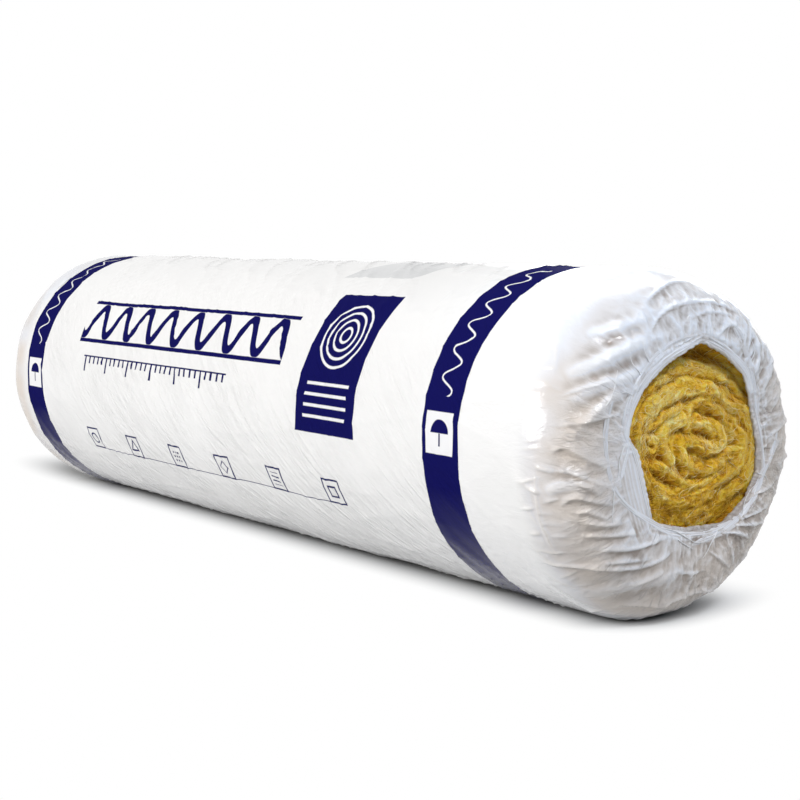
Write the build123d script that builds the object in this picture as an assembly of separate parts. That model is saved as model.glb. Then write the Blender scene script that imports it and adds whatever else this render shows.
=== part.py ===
# Glass-wool insulation roll in its polyethylene sleeve, lying on its side.
# Millimetres, +Z up. The roll's axis runs along X, and the origin is on the floor below its middle.
import os
from math import cos, pi, sin

from build123d import *

# Overall size, over the film
roll_diameter = 345.0
roll_length = 1225.0

# Film sleeve: the wall, and the rounded shoulders where it is drawn in over the two ends
film_thickness = 2.0
near_shoulder_radius = 64.0
far_shoulder_radius = 48.0

# Room between the film and the wool
film_clearance = 0.3

# Flat bands that stand for the round of a shoulder on the hidden faces inside the film
hidden_bands = 6

# Mouths: the holes with taut straight sides that the gathered film leaves on each end
near_mouth_radius = 90.0
near_mouth_corner_shares = [
    (0.15, 1.11), (0.87, 0.74), (1.08, -0.11), (0.62, -0.81), (-0.50, -0.69), (-0.88, 0.22), (-0.61, 0.77),
]
far_mouth_radius = 84.0
far_mouth_corner_shares = [
    (0.10, 1.02), (0.94, 0.48), (0.90, -0.52), (0.02, -0.98), (-0.88, -0.50), (-0.96, 0.44),
]
mouth_corner_radius = 9.0

# Wool mat: the outermost turn stands up under the film as a lip, and the inner turns lie lower
lip_depth = 20.0
lip_land = 8.0
turn_pitch = 27.0
turn_gap = 2.5
turn_height = 10.0
turn_chamfer = 6.0
turn_root = 3.0
eye_radius = 2.0

# Run of a cutter past the face that it cuts
overrun = 5.0

# Worked out from the sizes above
roll_radius = roll_diameter / 2
film_gap = film_thickness + film_clearance
half_pitch = turn_pitch / 2
quarter_pitch = turn_pitch / 4
turn_width = turn_pitch - turn_gap
axis_height = Location((0, 0, roll_radius))
cubic_mm_per_litre = 1e6


def round_drum(radius, length, near_shoulder, far_shoulder):
    """A drum turned about X, with a round shoulder at each end."""
    near_x = length / 2
    far_x = -length / 2
    with BuildSketch() as half_section:
        with BuildLine():
            FilletPolyline(
                (far_x, 0), (far_x, radius), (near_x, radius), (near_x, 0), radius=[far_shoulder, near_shoulder]
            )
            Line((near_x, 0), (far_x, 0))
        make_face()
    return revolve(half_section.sketch, axis=Axis.X)


def shoulder_points(radius, end_x, shoulder):
    """Points round a shoulder, from the flat of the end out to the barrel."""
    side = 1 if end_x > 0 else -1
    angles = [pi / 2 * band / hidden_bands for band in range(hidden_bands + 1)]
    return [(end_x - side * shoulder * (1 - cos(a)), radius - shoulder * (1 - sin(a))) for a in angles]


def banded_drum(radius, length, near_shoulder, far_shoulder):
    """The same drum with its shoulders in flat bands, for the faces that the film hides."""
    near_x = length / 2
    far_x = -length / 2
    near_points = shoulder_points(radius, near_x, near_shoulder)
    far_points = shoulder_points(radius, far_x, far_shoulder)
    with BuildSketch() as half_section:
        with BuildLine():
            Polyline((near_x, 0), *near_points, *reversed(far_points), (far_x, 0), close=True)
        make_face()
    return revolve(half_section.sketch, axis=Axis.X)


def mouth_cutter(corner_shares, radius, end_x, depth):
    """A prism with the outline of a mouth, running inwards from past the end of the film."""
    side = 1 if end_x > 0 else -1
    corners = [(y * radius, z * radius) for y, z in corner_shares]
    with BuildSketch(Plane.YZ.offset(end_x + side * overrun)) as outline:
        with BuildLine():
            FilletPolyline(*corners, radius=mouth_corner_radius, close=True)
        make_face()
    return extrude(outline.sketch, amount=-side * (depth + overrun))


def build_film_wrap():
    """The sleeve: a closed skin over the whole roll, with a mouth cut in each end."""
    skin = round_drum(roll_radius, roll_length, near_shoulder_radius, far_shoulder_radius)
    skin -= banded_drum(
        roll_radius - film_thickness,
        roll_length - 2 * film_thickness,
        near_shoulder_radius - film_thickness,
        far_shoulder_radius - film_thickness,
    )
    mouths = [
        (near_mouth_corner_shares, near_mouth_radius, near_shoulder_radius, 1),
        (far_mouth_corner_shares, far_mouth_radius, far_shoulder_radius, -1),
    ]
    for corner_shares, radius, shoulder, side in mouths:
        skin -= mouth_cutter(corner_shares, radius, side * roll_length / 2, shoulder)
    return axis_height * skin


def turn_section(centre_radius):
    """The edge of one turn of the mat, standing on X = 0 with its root below, its two corners taken off."""
    inner = centre_radius - turn_width / 2
    outer = centre_radius + turn_width / 2
    wall_top = turn_height - turn_chamfer
    with BuildSketch() as section:
        with BuildLine():
            Polyline(
                (-turn_root, inner), (wall_top, inner), (turn_height, inner + turn_chamfer),
                (turn_height, outer - turn_chamfer), (wall_top, outer), (-turn_root, outer),
                close=True,
            )
        make_face()
    return section.sketch


def mat_end():
    """The round end of the mat in the eye of the roll: half of one turn's edge, turned about its own middle."""
    half_width = turn_width / 2
    wall_top = turn_height - turn_chamfer
    with BuildSketch() as half_section:
        with BuildLine():
            Polyline(
                (-turn_root, 0), (turn_height, 0), (turn_height, half_width - turn_chamfer),
                (wall_top, half_width), (-turn_root, half_width),
                close=True,
            )
        make_face()
    return revolve(half_section.sketch, axis=Axis((0, 0, 0), (-1, 0, 0)), revolution_arc=180)


def spiral_turns(floor_radius):
    """The turns that show on an end: half turns about two centres in alternation, each half a pitch wider."""
    radius = eye_radius + turn_width / 2
    turns = Pos(0, radius - quarter_pitch, 0) * mat_end()
    on_far_side = False
    while radius < floor_radius:
        section = turn_section(radius)
        centre_y = -quarter_pitch
        if on_far_side:
            section = section.rotate(Axis.X, 180)
            centre_y = quarter_pitch
        turn_axis = Axis((0, centre_y, 0), (1, 0, 0))
        turns += revolve(Pos(0, centre_y, 0) * section, axis=turn_axis, revolution_arc=180)
        radius += half_pitch
        on_far_side = not on_far_side
    return turns


def build_wool_roll():
    """The rolled mat: one turned solid, dished inside its outermost turn, with its turns on both ends."""
    radius = roll_radius - film_gap
    length = roll_length - 2 * film_gap
    near_shoulder = near_shoulder_radius - film_gap
    far_shoulder = far_shoulder_radius - film_gap
    roll = banded_drum(radius, length, near_shoulder, far_shoulder)
    for shoulder, side in ((near_shoulder, 1), (far_shoulder, -1)):
        end_x = side * length / 2
        floor_x = end_x - side * lip_depth
        lip_radius = radius - shoulder - lip_land
        floor_radius = lip_radius - lip_depth
        with BuildSketch() as dish:
            with BuildLine():
                Polyline((floor_x, 0), (floor_x, floor_radius), (end_x, lip_radius), (end_x, 0), close=True)
            make_face()
        roll -= revolve(dish.sketch, axis=Axis.X)
        turns = spiral_turns(floor_radius)
        if side < 0:
            turns = turns.rotate(Axis.Z, 180)
        roll += Pos(floor_x, 0, 0) * turns
    return axis_height * roll


os.makedirs("parts", exist_ok=True)
pieces = {"film_wrap": build_film_wrap(), "wool_roll": build_wool_roll()}
for name, piece in pieces.items():
    export_step(piece, f"parts/{name}.step")
    print(name, "solids", len(piece.solids()), "litres", round(piece.volume / cubic_mm_per_litre, 3))
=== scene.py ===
import math
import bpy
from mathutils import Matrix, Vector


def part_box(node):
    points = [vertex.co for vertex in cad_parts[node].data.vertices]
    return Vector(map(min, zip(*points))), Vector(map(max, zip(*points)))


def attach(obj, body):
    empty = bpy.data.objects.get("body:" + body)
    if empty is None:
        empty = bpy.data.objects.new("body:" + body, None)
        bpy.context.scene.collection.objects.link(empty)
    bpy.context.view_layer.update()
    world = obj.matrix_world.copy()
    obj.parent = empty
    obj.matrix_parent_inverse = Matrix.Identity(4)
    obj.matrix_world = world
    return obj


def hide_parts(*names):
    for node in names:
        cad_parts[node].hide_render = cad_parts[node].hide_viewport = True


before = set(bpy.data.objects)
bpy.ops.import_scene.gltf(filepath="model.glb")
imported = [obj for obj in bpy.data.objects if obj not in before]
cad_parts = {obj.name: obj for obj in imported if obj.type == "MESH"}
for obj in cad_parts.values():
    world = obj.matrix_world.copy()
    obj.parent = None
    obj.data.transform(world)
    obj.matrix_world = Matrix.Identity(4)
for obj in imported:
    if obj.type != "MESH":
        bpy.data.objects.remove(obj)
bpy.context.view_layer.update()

from types import SimpleNamespace

import bpy
import numpy as np
from mathutils import Vector

filmLow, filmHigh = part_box("film_wrap")
rollRadius = (filmHigh.z - filmLow.z) / 2   # over the film
nearX = filmHigh.x                          # plane of the near end
farX = filmLow.x                            # plane of the far end
print("frame loaded, roll radius", round(rollRadius, 4))


# Smooth gradient noise from about -1 to 1, on arrays of places
def gradientNoise(x, y, z, seed):
    side = 32
    table = np.random.default_rng(seed).normal(size=(side, side, side, 3))
    table /= np.linalg.norm(table, axis=-1, keepdims=True)
    cells = [np.floor(a).astype(int) for a in (x, y, z)]
    parts = [a - c for a, c in zip((x, y, z), cells)]
    fades = [p ** 3 * (p * (p * 6 - 15) + 10) for p in parts]
    total = 0
    for corner in range(8):
        steps = [corner & 1, corner >> 1 & 1, corner >> 2 & 1]
        spot = [(c + step) % side for c, step in zip(cells, steps)]
        slope = table[spot[0], spot[1], spot[2]]
        value = sum(slope[..., k] * (parts[k] - steps[k]) for k in range(3))
        for fade, step in zip(fades, steps):
            value = value * (fade if step else 1 - fade)
        total = total + value
    return total * 1.6   # to about -1 and 1


# The same noise at one size, on places across and up
def patchNoise(y, z, size, seed, layer=0.0):
    return gradientNoise(y / size, z / size, 0 * y + layer, seed)


# Sharp crests along the lines where the noise changes sign
def ridges(noise, sharpness):
    return np.clip(1 - np.abs(noise) * 2, 0, 1) ** sharpness


# Flat facets that meet in sharp edges, as in crushed film: small roofs round scattered middles, 0 to about 1
def crushed(u, v, size, seed, columns):
    rng = np.random.default_rng(seed)
    rows = 96
    jitter = rng.uniform(0.1, 0.9, (2, columns, rows))
    turn = rng.uniform(0, math.pi / 2, (columns, rows))
    u = u * columns
    v = v / size
    cellU = np.floor(u).astype(int)
    cellV = np.floor(v).astype(int)
    nearest = np.full(np.shape(u), 2.0)
    for stepU in (-1, 0, 1):
        for stepV in (-1, 0, 1):
            spot = ((cellU + stepU) % columns, (cellV + stepV) % rows)
            offU = u - cellU - stepU - jitter[0][spot]
            offV = v - cellV - stepV - jitter[1][spot]
            cos, sin = np.cos(turn[spot]), np.sin(turn[spot])
            roof = np.maximum(np.abs(cos * offU + sin * offV), np.abs(cos * offV - sin * offU))
            nearest = np.minimum(nearest, roof)
    return nearest


def smoothStep(low, high, value):
    t = np.clip((value - low) / (high - low), 0, 1)
    return t * t * (3 - 2 * t)


def angleGap(angle, centre):
    return (angle - centre + math.pi) % (2 * math.pi) - math.pi


# A smooth line through a few points, as more points
def smoothLine(points, steps=4):
    points = np.array(points, float)
    padded = np.concatenate([2 * points[:1] - points[1:2], points, 2 * points[-1:] - points[-2:-1]])
    line = []
    for before, start, end, after in zip(padded, padded[1:], padded[2:], padded[3:]):
        for t in np.linspace(0, 1, steps, endpoint=False):
            pull = (end - before) * t + (2 * before - 5 * start + 4 * end - after) * t ** 2
            line.append(start + 0.5 * (pull + (3 * start - before - 3 * end + after) * t ** 3))
    line.append(points[-1])
    return np.array(line)


# Mean of a grid over a small window, with the columns closed into a ring
def blurGrid(values, rows, columns):
    padded = np.concatenate([np.repeat(values[:1], rows, 0), values, np.repeat(values[-1:], rows, 0)])
    running = np.cumsum(np.concatenate([0 * padded[:1], padded]), 0)
    values = (running[2 * rows + 1:] - running[:-2 * rows - 1]) / (2 * rows + 1)
    return sum(np.roll(values, step, 1) for step in range(-columns, columns + 1)) / (2 * columns + 1)


# A mesh with numbers for each point that its finish reads
def meshFromArrays(name, places, marks, quads, triangles=None):
    faces = quads.tolist()
    if triangles is not None:
        faces += triangles.tolist()
    mesh = bpy.data.meshes.new(name)
    mesh.from_pydata(places.tolist(), [], faces)
    mesh.polygons.foreach_set("use_smooth", np.ones(len(mesh.polygons), bool))
    for mark, values in marks.items():
        layer = mesh.attributes.new(mark, "FLOAT", "POINT")
        layer.data.foreach_set("value", np.asarray(values, np.float32).ravel())
    mesh.update()
    piece = bpy.data.objects.new(name, mesh)
    bpy.context.scene.collection.objects.link(piece)
    print(name, "made,", len(faces), "faces")
    return piece


# Quads of a grid of rows and columns, with the columns closed into a ring
def ringQuads(rows, columns):
    row = np.arange(rows - 1)[:, None] * columns
    column = np.arange(columns)[None, :]
    after = (column + 1) % columns
    quads = np.stack([row + column, row + after, row + columns + after, row + columns + column], -1)
    return quads.reshape(-1, 4)


# Thin tubes along many lines at once, as places, quads and end caps
def tubes(lines, thick, sides):
    count, points = lines.shape[:2]
    ahead = np.gradient(lines, axis=1)
    ahead /= np.linalg.norm(ahead, axis=-1, keepdims=True) + 1e-12
    sideways = np.cross(ahead, np.array([1.0, 0.0, 0.0]))
    sideways /= np.linalg.norm(sideways, axis=-1, keepdims=True) + 1e-12
    outward = np.cross(sideways, ahead)
    turns = 2 * math.pi * np.arange(sides) / sides
    rings = [lines + thick * (math.cos(t) * outward + math.sin(t) * sideways) for t in turns]
    places = np.stack(rings, 2).reshape(-1, 3)
    first = np.arange(count)[:, None, None] * points * sides
    base = first + np.arange(points - 1)[None, :, None] * sides
    corner = np.arange(sides)[None, None, :]
    after = (corner + 1) % sides
    quads = np.stack([base + corner, base + after, base + sides + after, base + sides + corner], -1)
    start = first[:, 0]
    stop = start + (points - 1) * sides
    fan = np.arange(1, sides - 1)[None, :]
    startCap = np.stack([start + fan + 1, start + fan, start + 0 * fan], -1)
    stopCap = np.stack([stop + 0 * fan, stop + fan, stop + fan + 1], -1)
    caps = np.concatenate([startCap.reshape(-1, 3), stopCap.reshape(-1, 3)])
    return places, quads.reshape(-1, 4), caps


# Film sleeve, the values that all of it shares
sleeve = {
    "nearSeam": 0.474,   # x where the near end's mesh meets the barrel's
    "farSeam": -0.535,
    "slump": 0.0006,     # how far the film is kept off the floor
    "lumps": {"rise": 0.0016, "size": 0.11, "seed": 11},   # soft unevenness of the wool under the film
    "pulls": {"rise": 0.0008, "length": 0.24, "width": 0.05, "skew": 2.2, "sharp": 3, "seed": 12},
    "creases": {"rise": 0.0015, "length": 0.11, "width": 0.034, "slant": 0.55, "sharp": 6, "seed": 13},
}


# Swell of the film over the whole roll, from its place along and round the roll
def sleeveSwell(x, angle):
    across = np.cos(angle) * rollRadius
    up = np.sin(angle) * rollRadius
    lumps, pulls, creases = sleeve["lumps"], sleeve["pulls"], sleeve["creases"]
    size = lumps["size"]
    soft = gradientNoise(x / size, across / size, up / size, lumps["seed"])
    size = pulls["width"]
    drawn = gradientNoise(x / pulls["length"], across / size + x * pulls["skew"], up / size, pulls["seed"])
    fromTop = angleGap(angle, math.pi / 2) * rollRadius
    slanted = (x - creases["slant"] * fromTop) / creases["width"]
    size = creases["length"]
    folded = gradientNoise(slanted, across / size, up / size, creases["seed"])
    swell = lumps["rise"] * soft + pulls["rise"] * ridges(drawn, pulls["sharp"])
    return swell + creases["rise"] * ridges(folded, creases["sharp"])


# Put a grid of film in place: along x, out from the axis, and off the floor
def placeFilm(x, reach, angle):
    y = reach * np.cos(angle)
    z = rollRadius + reach * np.sin(angle)
    z = np.maximum(z, sleeve["slump"])
    return np.stack([x + 0 * y, y, z], -1).reshape(-1, 3)


barrel = {"columns": 380, "rows": 180}


def makeBarrel():
    angle = np.linspace(0, 2 * math.pi, barrel["columns"], endpoint=False)[None, :]
    x = np.linspace(sleeve["farSeam"], sleeve["nearSeam"], barrel["rows"])[:, None]
    reach = rollRadius + sleeveSwell(x + 0 * angle, angle + 0 * x)
    places = placeFilm(x + 0 * angle, reach, angle + 0 * x)
    quads = ringQuads(barrel["rows"], barrel["columns"])[:, ::-1]
    return meshFromArrays("film_barrel", places, {"tone": np.ones(len(places))}, quads)


# Near end of the sleeve. Angles in degrees: 0 right, 90 top, 180 the side that faces the camera.
# Runs along the film are metres from the start of the shoulder, growing towards the mouth.
nearEnd = {
    "name": "film_near_end",
    "side": 1,
    "seed": 40,
    "columns": 880,
    "barrelRows": 16,
    "shoulderRows": 64,
    "skinRows": 24,
    "rimRows": 7,
    "shoulder": 0.064,
    "rimRoll": 0.0022,
    "corners": [
        (0.012, 0.105), (0.044, 0.092), (0.075, 0.070), (0.083, 0.048), (0.096, 0.000), (0.096, -0.028),
        (0.080, -0.054), (0.048, -0.077), (-0.008, -0.076), (-0.051, -0.066), (-0.056, -0.047),
        (-0.071, 0.002), (-0.085, 0.020), (-0.080, 0.041), (-0.073, 0.057), (-0.038, 0.084),
    ],
    "puckers": {"count": 120, "from": 0.010, "to": 0.042, "half": (0.005, 0.013), "rise": (0.0012, 0.0030)},
    "strays": {"count": 110, "from": 0.045, "to": 0.120, "rise": (0.0003, 0.0009), "width": (0.0010, 0.0020)},
    "drawnFrom": (0.004, 0.052),   # run across which the sleeve turns into the thin drawn film, whose darker tone is partly its own and partly painted shade
    "calm": (188, 84),             # angle and half-width of the stretch where the film lies smoothest
    "crushes": [
        # facets round the roll, size along the run, rise, share of it in the calm stretch
        (36, 0.034, 0.0036, 0.60), (84, 0.017, 0.0019, 0.50),
    ],
    "softFolds": [
        # points (angle, run), rise, half-width
        ([(152, 0.040), (144, 0.060), (132, 0.076), (114, 0.088)], 0.0050, 0.0085),
        ([(160, 0.050), (149, 0.076), (140, 0.093), (126, 0.104)], 0.0040, 0.0070),
        ([(172, 0.060), (160, 0.078), (151, 0.090), (138, 0.112)], 0.0042, 0.0060),
        ([(136, 0.040), (126, 0.058), (112, 0.070)], 0.0028, 0.0070),
        ([(190, 0.036), (188, 0.060), (194, 0.095)], 0.0034, 0.0060),
        ([(232, 0.030), (238, 0.060), (252, 0.085), (268, 0.096)], 0.0036, 0.0080),
    ],
    "creases": [
        # points (angle, run), rise, width
        ([(177, 0.044), (175, 0.054), (177, 0.066), (183, 0.095)], 0.0046, 0.0048),
        ([(183, 0.050), (184, 0.062), (187, 0.076), (193, 0.098)], 0.0036, 0.0040),
        ([(186, 0.058), (189, 0.071), (195, 0.086)], 0.0022, 0.0024),
        ([(195, 0.050), (193, 0.060), (195, 0.072), (202, 0.098)], 0.0042, 0.0038),
        ([(199, 0.061), (200, 0.072), (208, 0.090)], 0.0030, 0.0028),
        ([(203, 0.064), (206, 0.074), (214, 0.102)], 0.0042, 0.0042),
        ([(208, 0.058), (211, 0.072), (219, 0.096), (227, 0.110)], 0.0030, 0.0030),
        ([(216, 0.066), (223, 0.084), (236, 0.108), (245, 0.120)], 0.0034, 0.0034),
        ([(223, 0.064), (229, 0.080), (241, 0.098)], 0.0024, 0.0020),
        ([(215, 0.010), (217, 0.024), (220, 0.043), (229, 0.070), (246, 0.098), (255, 0.111)],
         0.0034, 0.0026),
        ([(244, 0.040), (251, 0.050), (266, 0.056)], 0.0032, 0.0028),
        ([(241, 0.068), (245, 0.079), (252, 0.092)], 0.0036, 0.0034),
        ([(258, 0.030), (265, 0.060), (280, 0.064), (296, 0.047)], 0.0036, 0.0032),
        ([(260, 0.093), (270, 0.090), (281, 0.088)], 0.0020, 0.0020),
        ([(116, 0.081), (110, 0.075), (103, 0.071), (94, 0.069), (82, 0.067), (69, 0.062), (59, 0.057)],
         0.0030, 0.0022),
        ([(109, 0.056), (100, 0.049), (92, 0.043), (83, 0.039)], 0.0026, 0.0024),
        ([(94, 0.084), (83, 0.078), (71, 0.073), (64, 0.069)], 0.0020, 0.0018),
        ([(168, 0.048), (165, 0.072), (158, 0.100)], 0.0036, 0.0040),
        ([(158, 0.044), (152, 0.066), (146, 0.080)], 0.0022, 0.0026),
        ([(183, 0.029), (192, 0.027), (202, 0.027), (213, 0.030)], 0.0020, 0.0018),
        ([(75, 0.098), (68, 0.083), (60, 0.080), (52, 0.093)], 0.0036, 0.0036),
        ([(50, 0.060), (44, 0.080), (38, 0.100)], 0.0036, 0.0042),
        ([(40, 0.050), (33, 0.072), (28, 0.098)], 0.0040, 0.0046),
        ([(24, 0.046), (20, 0.070), (14, 0.095)], 0.0032, 0.0036),
        ([(10, 0.050), (6, 0.074), (4, 0.098)], 0.0032, 0.0036),
        ([(320, 0.116), (332, 0.104), (343, 0.074)], 0.0040, 0.0028),
        ([(311, 0.112), (321, 0.099), (335, 0.072)], 0.0042, 0.0034),
        ([(306, 0.114), (316, 0.094), (325, 0.070)], 0.0036, 0.0024),
        ([(294, 0.119), (306, 0.102), (313, 0.078)], 0.0036, 0.0032),
        ([(337, 0.108), (346, 0.102), (354, 0.094), (0, 0.085)], 0.0038, 0.0032),
        ([(349, 0.078), (353, 0.062), (356, 0.044)], 0.0030, 0.0028),
        ([(284, 0.108), (291, 0.090), (298, 0.070)], 0.0030, 0.0030),
    ],
    "pleats": {"from": 176, "to": 232, "deep": 0.030, "pitch": 0.0044, "rise": 0.0008},
}

farEnd = {
    "name": "film_far_end",
    "side": -1,
    "seed": 70,
    "columns": 480,
    "barrelRows": 8,
    "shoulderRows": 36,
    "skinRows": 24,
    "rimRows": 6,
    "shoulder": 0.048,
    "rimRoll": 0.0022,
    "corners": [
        (0.008, 0.086), (0.079, 0.040), (0.076, -0.044), (0.002, -0.082), (-0.074, -0.042), (-0.081, 0.037),
    ],
    "puckers": {"count": 100, "from": 0.036, "to": 0.052, "half": (0.007, 0.014), "rise": (0.0003, 0.0012)},
    "strays": {"count": 190, "from": 0.030, "to": 0.115, "rise": (0.0006, 0.0022), "width": (0.0012, 0.0026)},
    # Begins on the barrel, so the far shoulder takes the darker tone of the drawn film as painted shade
    "drawnFrom": (-0.035, 0.020),
    "calm": (200, 20),
    "crushes": [(40, 0.030, 0.0026, 0.5), (90, 0.015, 0.0012, 0.4)],
    "softFolds": [
        ([(38 + 45 * turn, 0.030), (44 + 45 * turn, 0.065), (56 + 45 * turn, 0.100)], 0.0040, 0.0075)
        for turn in range(8)
    ],
    "creases": [
        ([(20 + 36 * turn, 0.030), (24 + 36 * turn, 0.070), (32 + 36 * turn, 0.108)], 0.0036, 0.0046)
        for turn in range(10)
    ],
    "pleats": {"from": 20, "to": 70, "deep": 0.020, "pitch": 0.0042, "rise": 0.0010},
}


# How the creases of both ends are shaped, with a painted shadow line below the sharp ones
crease = {
    "lineOff": 0.0016,         # from a sharp crease's crest to the painted shadow line below it
    "lineHalf": 0.0013,        # half that line's width
    "lineRise": 0.0045,        # rise of the crease that makes it full
    # how much that painted shadow line darkens the tone
    "lineDepth": 0.55,
    "flanks": (0.45, 1.5),     # how wide the lower and the upper flank are, against the crease's width
    "margin": 6,               # widths beside a crease within which it is worked out
    "fade": (0.02, 0.98),      # shares of its length between which it rises and falls
    "blunt": 0.6,              # how bluntly it does so
    "calmEdge": (0.7, 1.25),   # share of the calm stretch's half-width across which it ends
    "puckers": {"jitter": 0.35, "slant": 0.02, "width": (0.0014, 0.0030), "top": (0.1, 0.7), "topFade": 0.85},
    "strays": {"half": (0.005, 0.018), "slant": 0.09, "bow": 0.015, "calm": 0.25},
}

# Crumples of both ends, from the soft dents of the wool's edge to the small facets of the film
crumples = {
    "from": (0.030, 0.070),    # run across which they begin
    "calm": 0.1,               # share of them where the film is pulled straight
    "dents": {"rise": 0.0026, "size": 0.055},
    "warp": {"shift": 0.010, "size": 0.03, "round": 0.4},   # bends the lines of the others
    "pulls": {"rise": 0.0004, "length": 0.06, "start": 4, "round": 8, "bend": 30, "sharp": 5},
    "facets": {"rise": 0.0006, "size": 0.017, "sharp": 6},
    "fine": {"rise": 0.0003, "size": 0.0075, "sharp": 4, "valleys": 0.8, "apart": 0.5, "valleySharp": 5},
}

# The rolled rim of a mouth, and the taut film beside it
rim = {
    "cornerPart": 45,          # part of the girth, one in so many, over which a mouth's corner is rounded
    "curl": 1.25 * math.pi,    # how far the rim is rolled
    "follow": 0.3,             # share of the film's folds that it follows
    "beside": 0.012,           # distance from it where the film follows them all
    "twist": {"rise": 0.0005, "round": 60, "lay": 2.5, "wander": 6},
    "panel": {"ends": (0.05, 0.16), "edge": 0.004, "flat": 0.85, "sharp": 1.5},   # of the pleats
    "taut": {
        "rise": 0.0016, "pitch": 0.0045, "round": 2, "sharp": 1.2,
        "near": (0.018, 0.003),   # distance from the mouth across which the lines begin
        "from": (0.07, 0.10),     # run across which they do
    },
}

# Tone of the film on both ends: painted highlight on its crests, painted shade in its hollows, and painted
# light and shade by side
drawnFilm = {
    "top": (0.55, 0.95),       # sine of the angle across which the film counts as lying on top
    "topPaintedShadeAhead": 0.026,         # how much sooner the thin film's darker tone begins there: painted shade along the top outline
    "topCalm": 0.35,           # share of the painted crest and hollow contrast that it lacks there
    "topPaintedLight": 0.10,           # how much paler it is there: painted light from above
    "middle": 0.5,
    "palest": 0.9,
    "crests": [
        # window in rows and columns, and the rise over its mean that counts as 1: crests painted paler,
        # hollows painted darker
        ((4, 6), 0.0020), ((12, 20), 0.0075),
    ],
    "sides": [
        # turn of the angle, its cosine across which the film changes, and how much paler it gets: painted
        # shade on the lower right, painted light on the left
        (0.8, (0.4, 0.95), -0.32), (math.pi, (0.4, 0.9), 0.12),
    ],
    "smooth": {"above": (0.35, 0.80), "share": 0.65},   # sine across which the lines fade, and by how much
    # Painted warm bounce light on the shoulder, in patches, fading towards the mouth and towards the top
    "warm": {
        "share": 0.8, "size": (0.06, 0.05, 0.035),
        "rise": 0.03,             # run over which the painted warm light begins
        "fades": (0.140, 0.060),  # run across which it ends
        "below": (0.75, 0.25),    # sine across which it ends towards the top
    },
}


# Radius of a straight-sided mouth along each angle
def mouthRadius(corners, angles):
    radius = np.full(len(angles), rollRadius)
    for (y0, z0), (y1, z1) in zip(corners, corners[1:] + corners[:1]):
        turned = np.cos(angles) * (z1 - z0) - np.sin(angles) * (y1 - y0)
        turned = np.where(np.abs(turned) < 1e-9, 1e-9, turned)
        along = (np.sin(angles) * y0 - np.cos(angles) * z0) / turned
        distance = (y0 * z1 - z0 * y1) / turned
        onEdge = (distance > 0) & (along >= 0) & (along <= 1)
        radius = np.where(onEdge, np.minimum(radius, distance), radius)
    smear = np.hanning(len(angles) // rim["cornerPart"] | 1)   # takes the points off the corners
    smear /= smear.sum()
    margin = len(smear) // 2
    return np.convolve(np.concatenate([radius[-margin:], radius, radius[:margin]]), smear, "valid")


# 0 where the film is pulled straight, 1 where it clings and crumples
def roughness(spec, angle):
    calmAngle, calmHalf = (math.radians(value) for value in spec["calm"])
    low, high = crease["calmEdge"]
    return smoothStep(calmHalf * low, calmHalf * high, np.abs(angleGap(angle, calmAngle)))


# The grid of one end: from the seam along the barrel, round the shoulder, over the end and round the rim
def endGrid(spec):
    side, shoulder, roll, columns = (spec[name] for name in ("side", "shoulder", "rimRoll", "columns"))
    endX = nearX if side > 0 else farX
    seam = sleeve["nearSeam"] if side > 0 else sleeve["farSeam"]
    startX = endX - side * shoulder
    flatRadius = rollRadius - shoulder
    shoulderRun = shoulder * math.pi / 2
    angle = np.linspace(0, 2 * math.pi, columns, endpoint=False)
    mouth = mouthRadius(spec["corners"], angle)[None, :]
    strip = np.linspace(seam, startX, spec["barrelRows"], endpoint=False)[:, None]
    bend = np.linspace(0, math.pi / 2, spec["shoulderRows"], endpoint=False)[:, None]
    skin = np.linspace(0, 1, spec["skinRows"], endpoint=False)[:, None]
    curl = np.linspace(0, rim["curl"], spec["rimRows"])[:, None]
    ones = np.ones((1, columns))
    grid = SimpleNamespace()
    grid.x = np.concatenate([
        strip * ones,
        (startX + side * shoulder * np.sin(bend)) * ones,
        endX + 0 * skin * ones,
        (endX - side * roll * (1 - np.cos(curl))) * ones,
    ])
    grid.reach = np.concatenate([
        rollRadius + 0 * strip * ones,
        (flatRadius + shoulder * np.cos(bend)) * ones,
        flatRadius + (mouth - flatRadius) * skin,
        mouth - roll * np.sin(curl),
    ])
    grid.tilt = np.concatenate([0 * strip, bend, 0 * skin + math.pi / 2, curl + math.pi / 2]) * ones
    grid.run = np.concatenate([
        -np.abs(startX - strip) * ones,
        shoulder * bend * ones,
        shoulderRun + (flatRadius - mouth) * skin,
        shoulderRun + flatRadius - mouth + 0 * curl,
    ])
    grid.toMouth = shoulderRun + flatRadius - mouth - grid.run
    grid.angles = angle[None, :] + 0 * grid.run
    grid.cos = np.cos(grid.angles)
    grid.sin = np.sin(grid.angles)
    grid.across = grid.cos * grid.reach
    grid.up = grid.sin * grid.reach
    grid.onTop = smoothStep(*drawnFilm["top"], grid.sin)
    grid.onEnd = smoothStep(*spec["drawnFrom"], grid.run + drawnFilm["topPaintedShadeAhead"] * grid.onTop)
    grid.crumple = smoothStep(*crumples["from"], grid.run)
    grid.rough = roughness(spec, grid.angles)
    return grid


# Noise over such a grid, of one size or of three, with its places shifted sideways
def gridNoise(grid, size, seed, shift=0.0):
    along, across, up = np.broadcast_to(size, 3)
    return gradientNoise(grid.x / along, (grid.across + shift) / across, (grid.up - shift) / up, seed)
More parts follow.
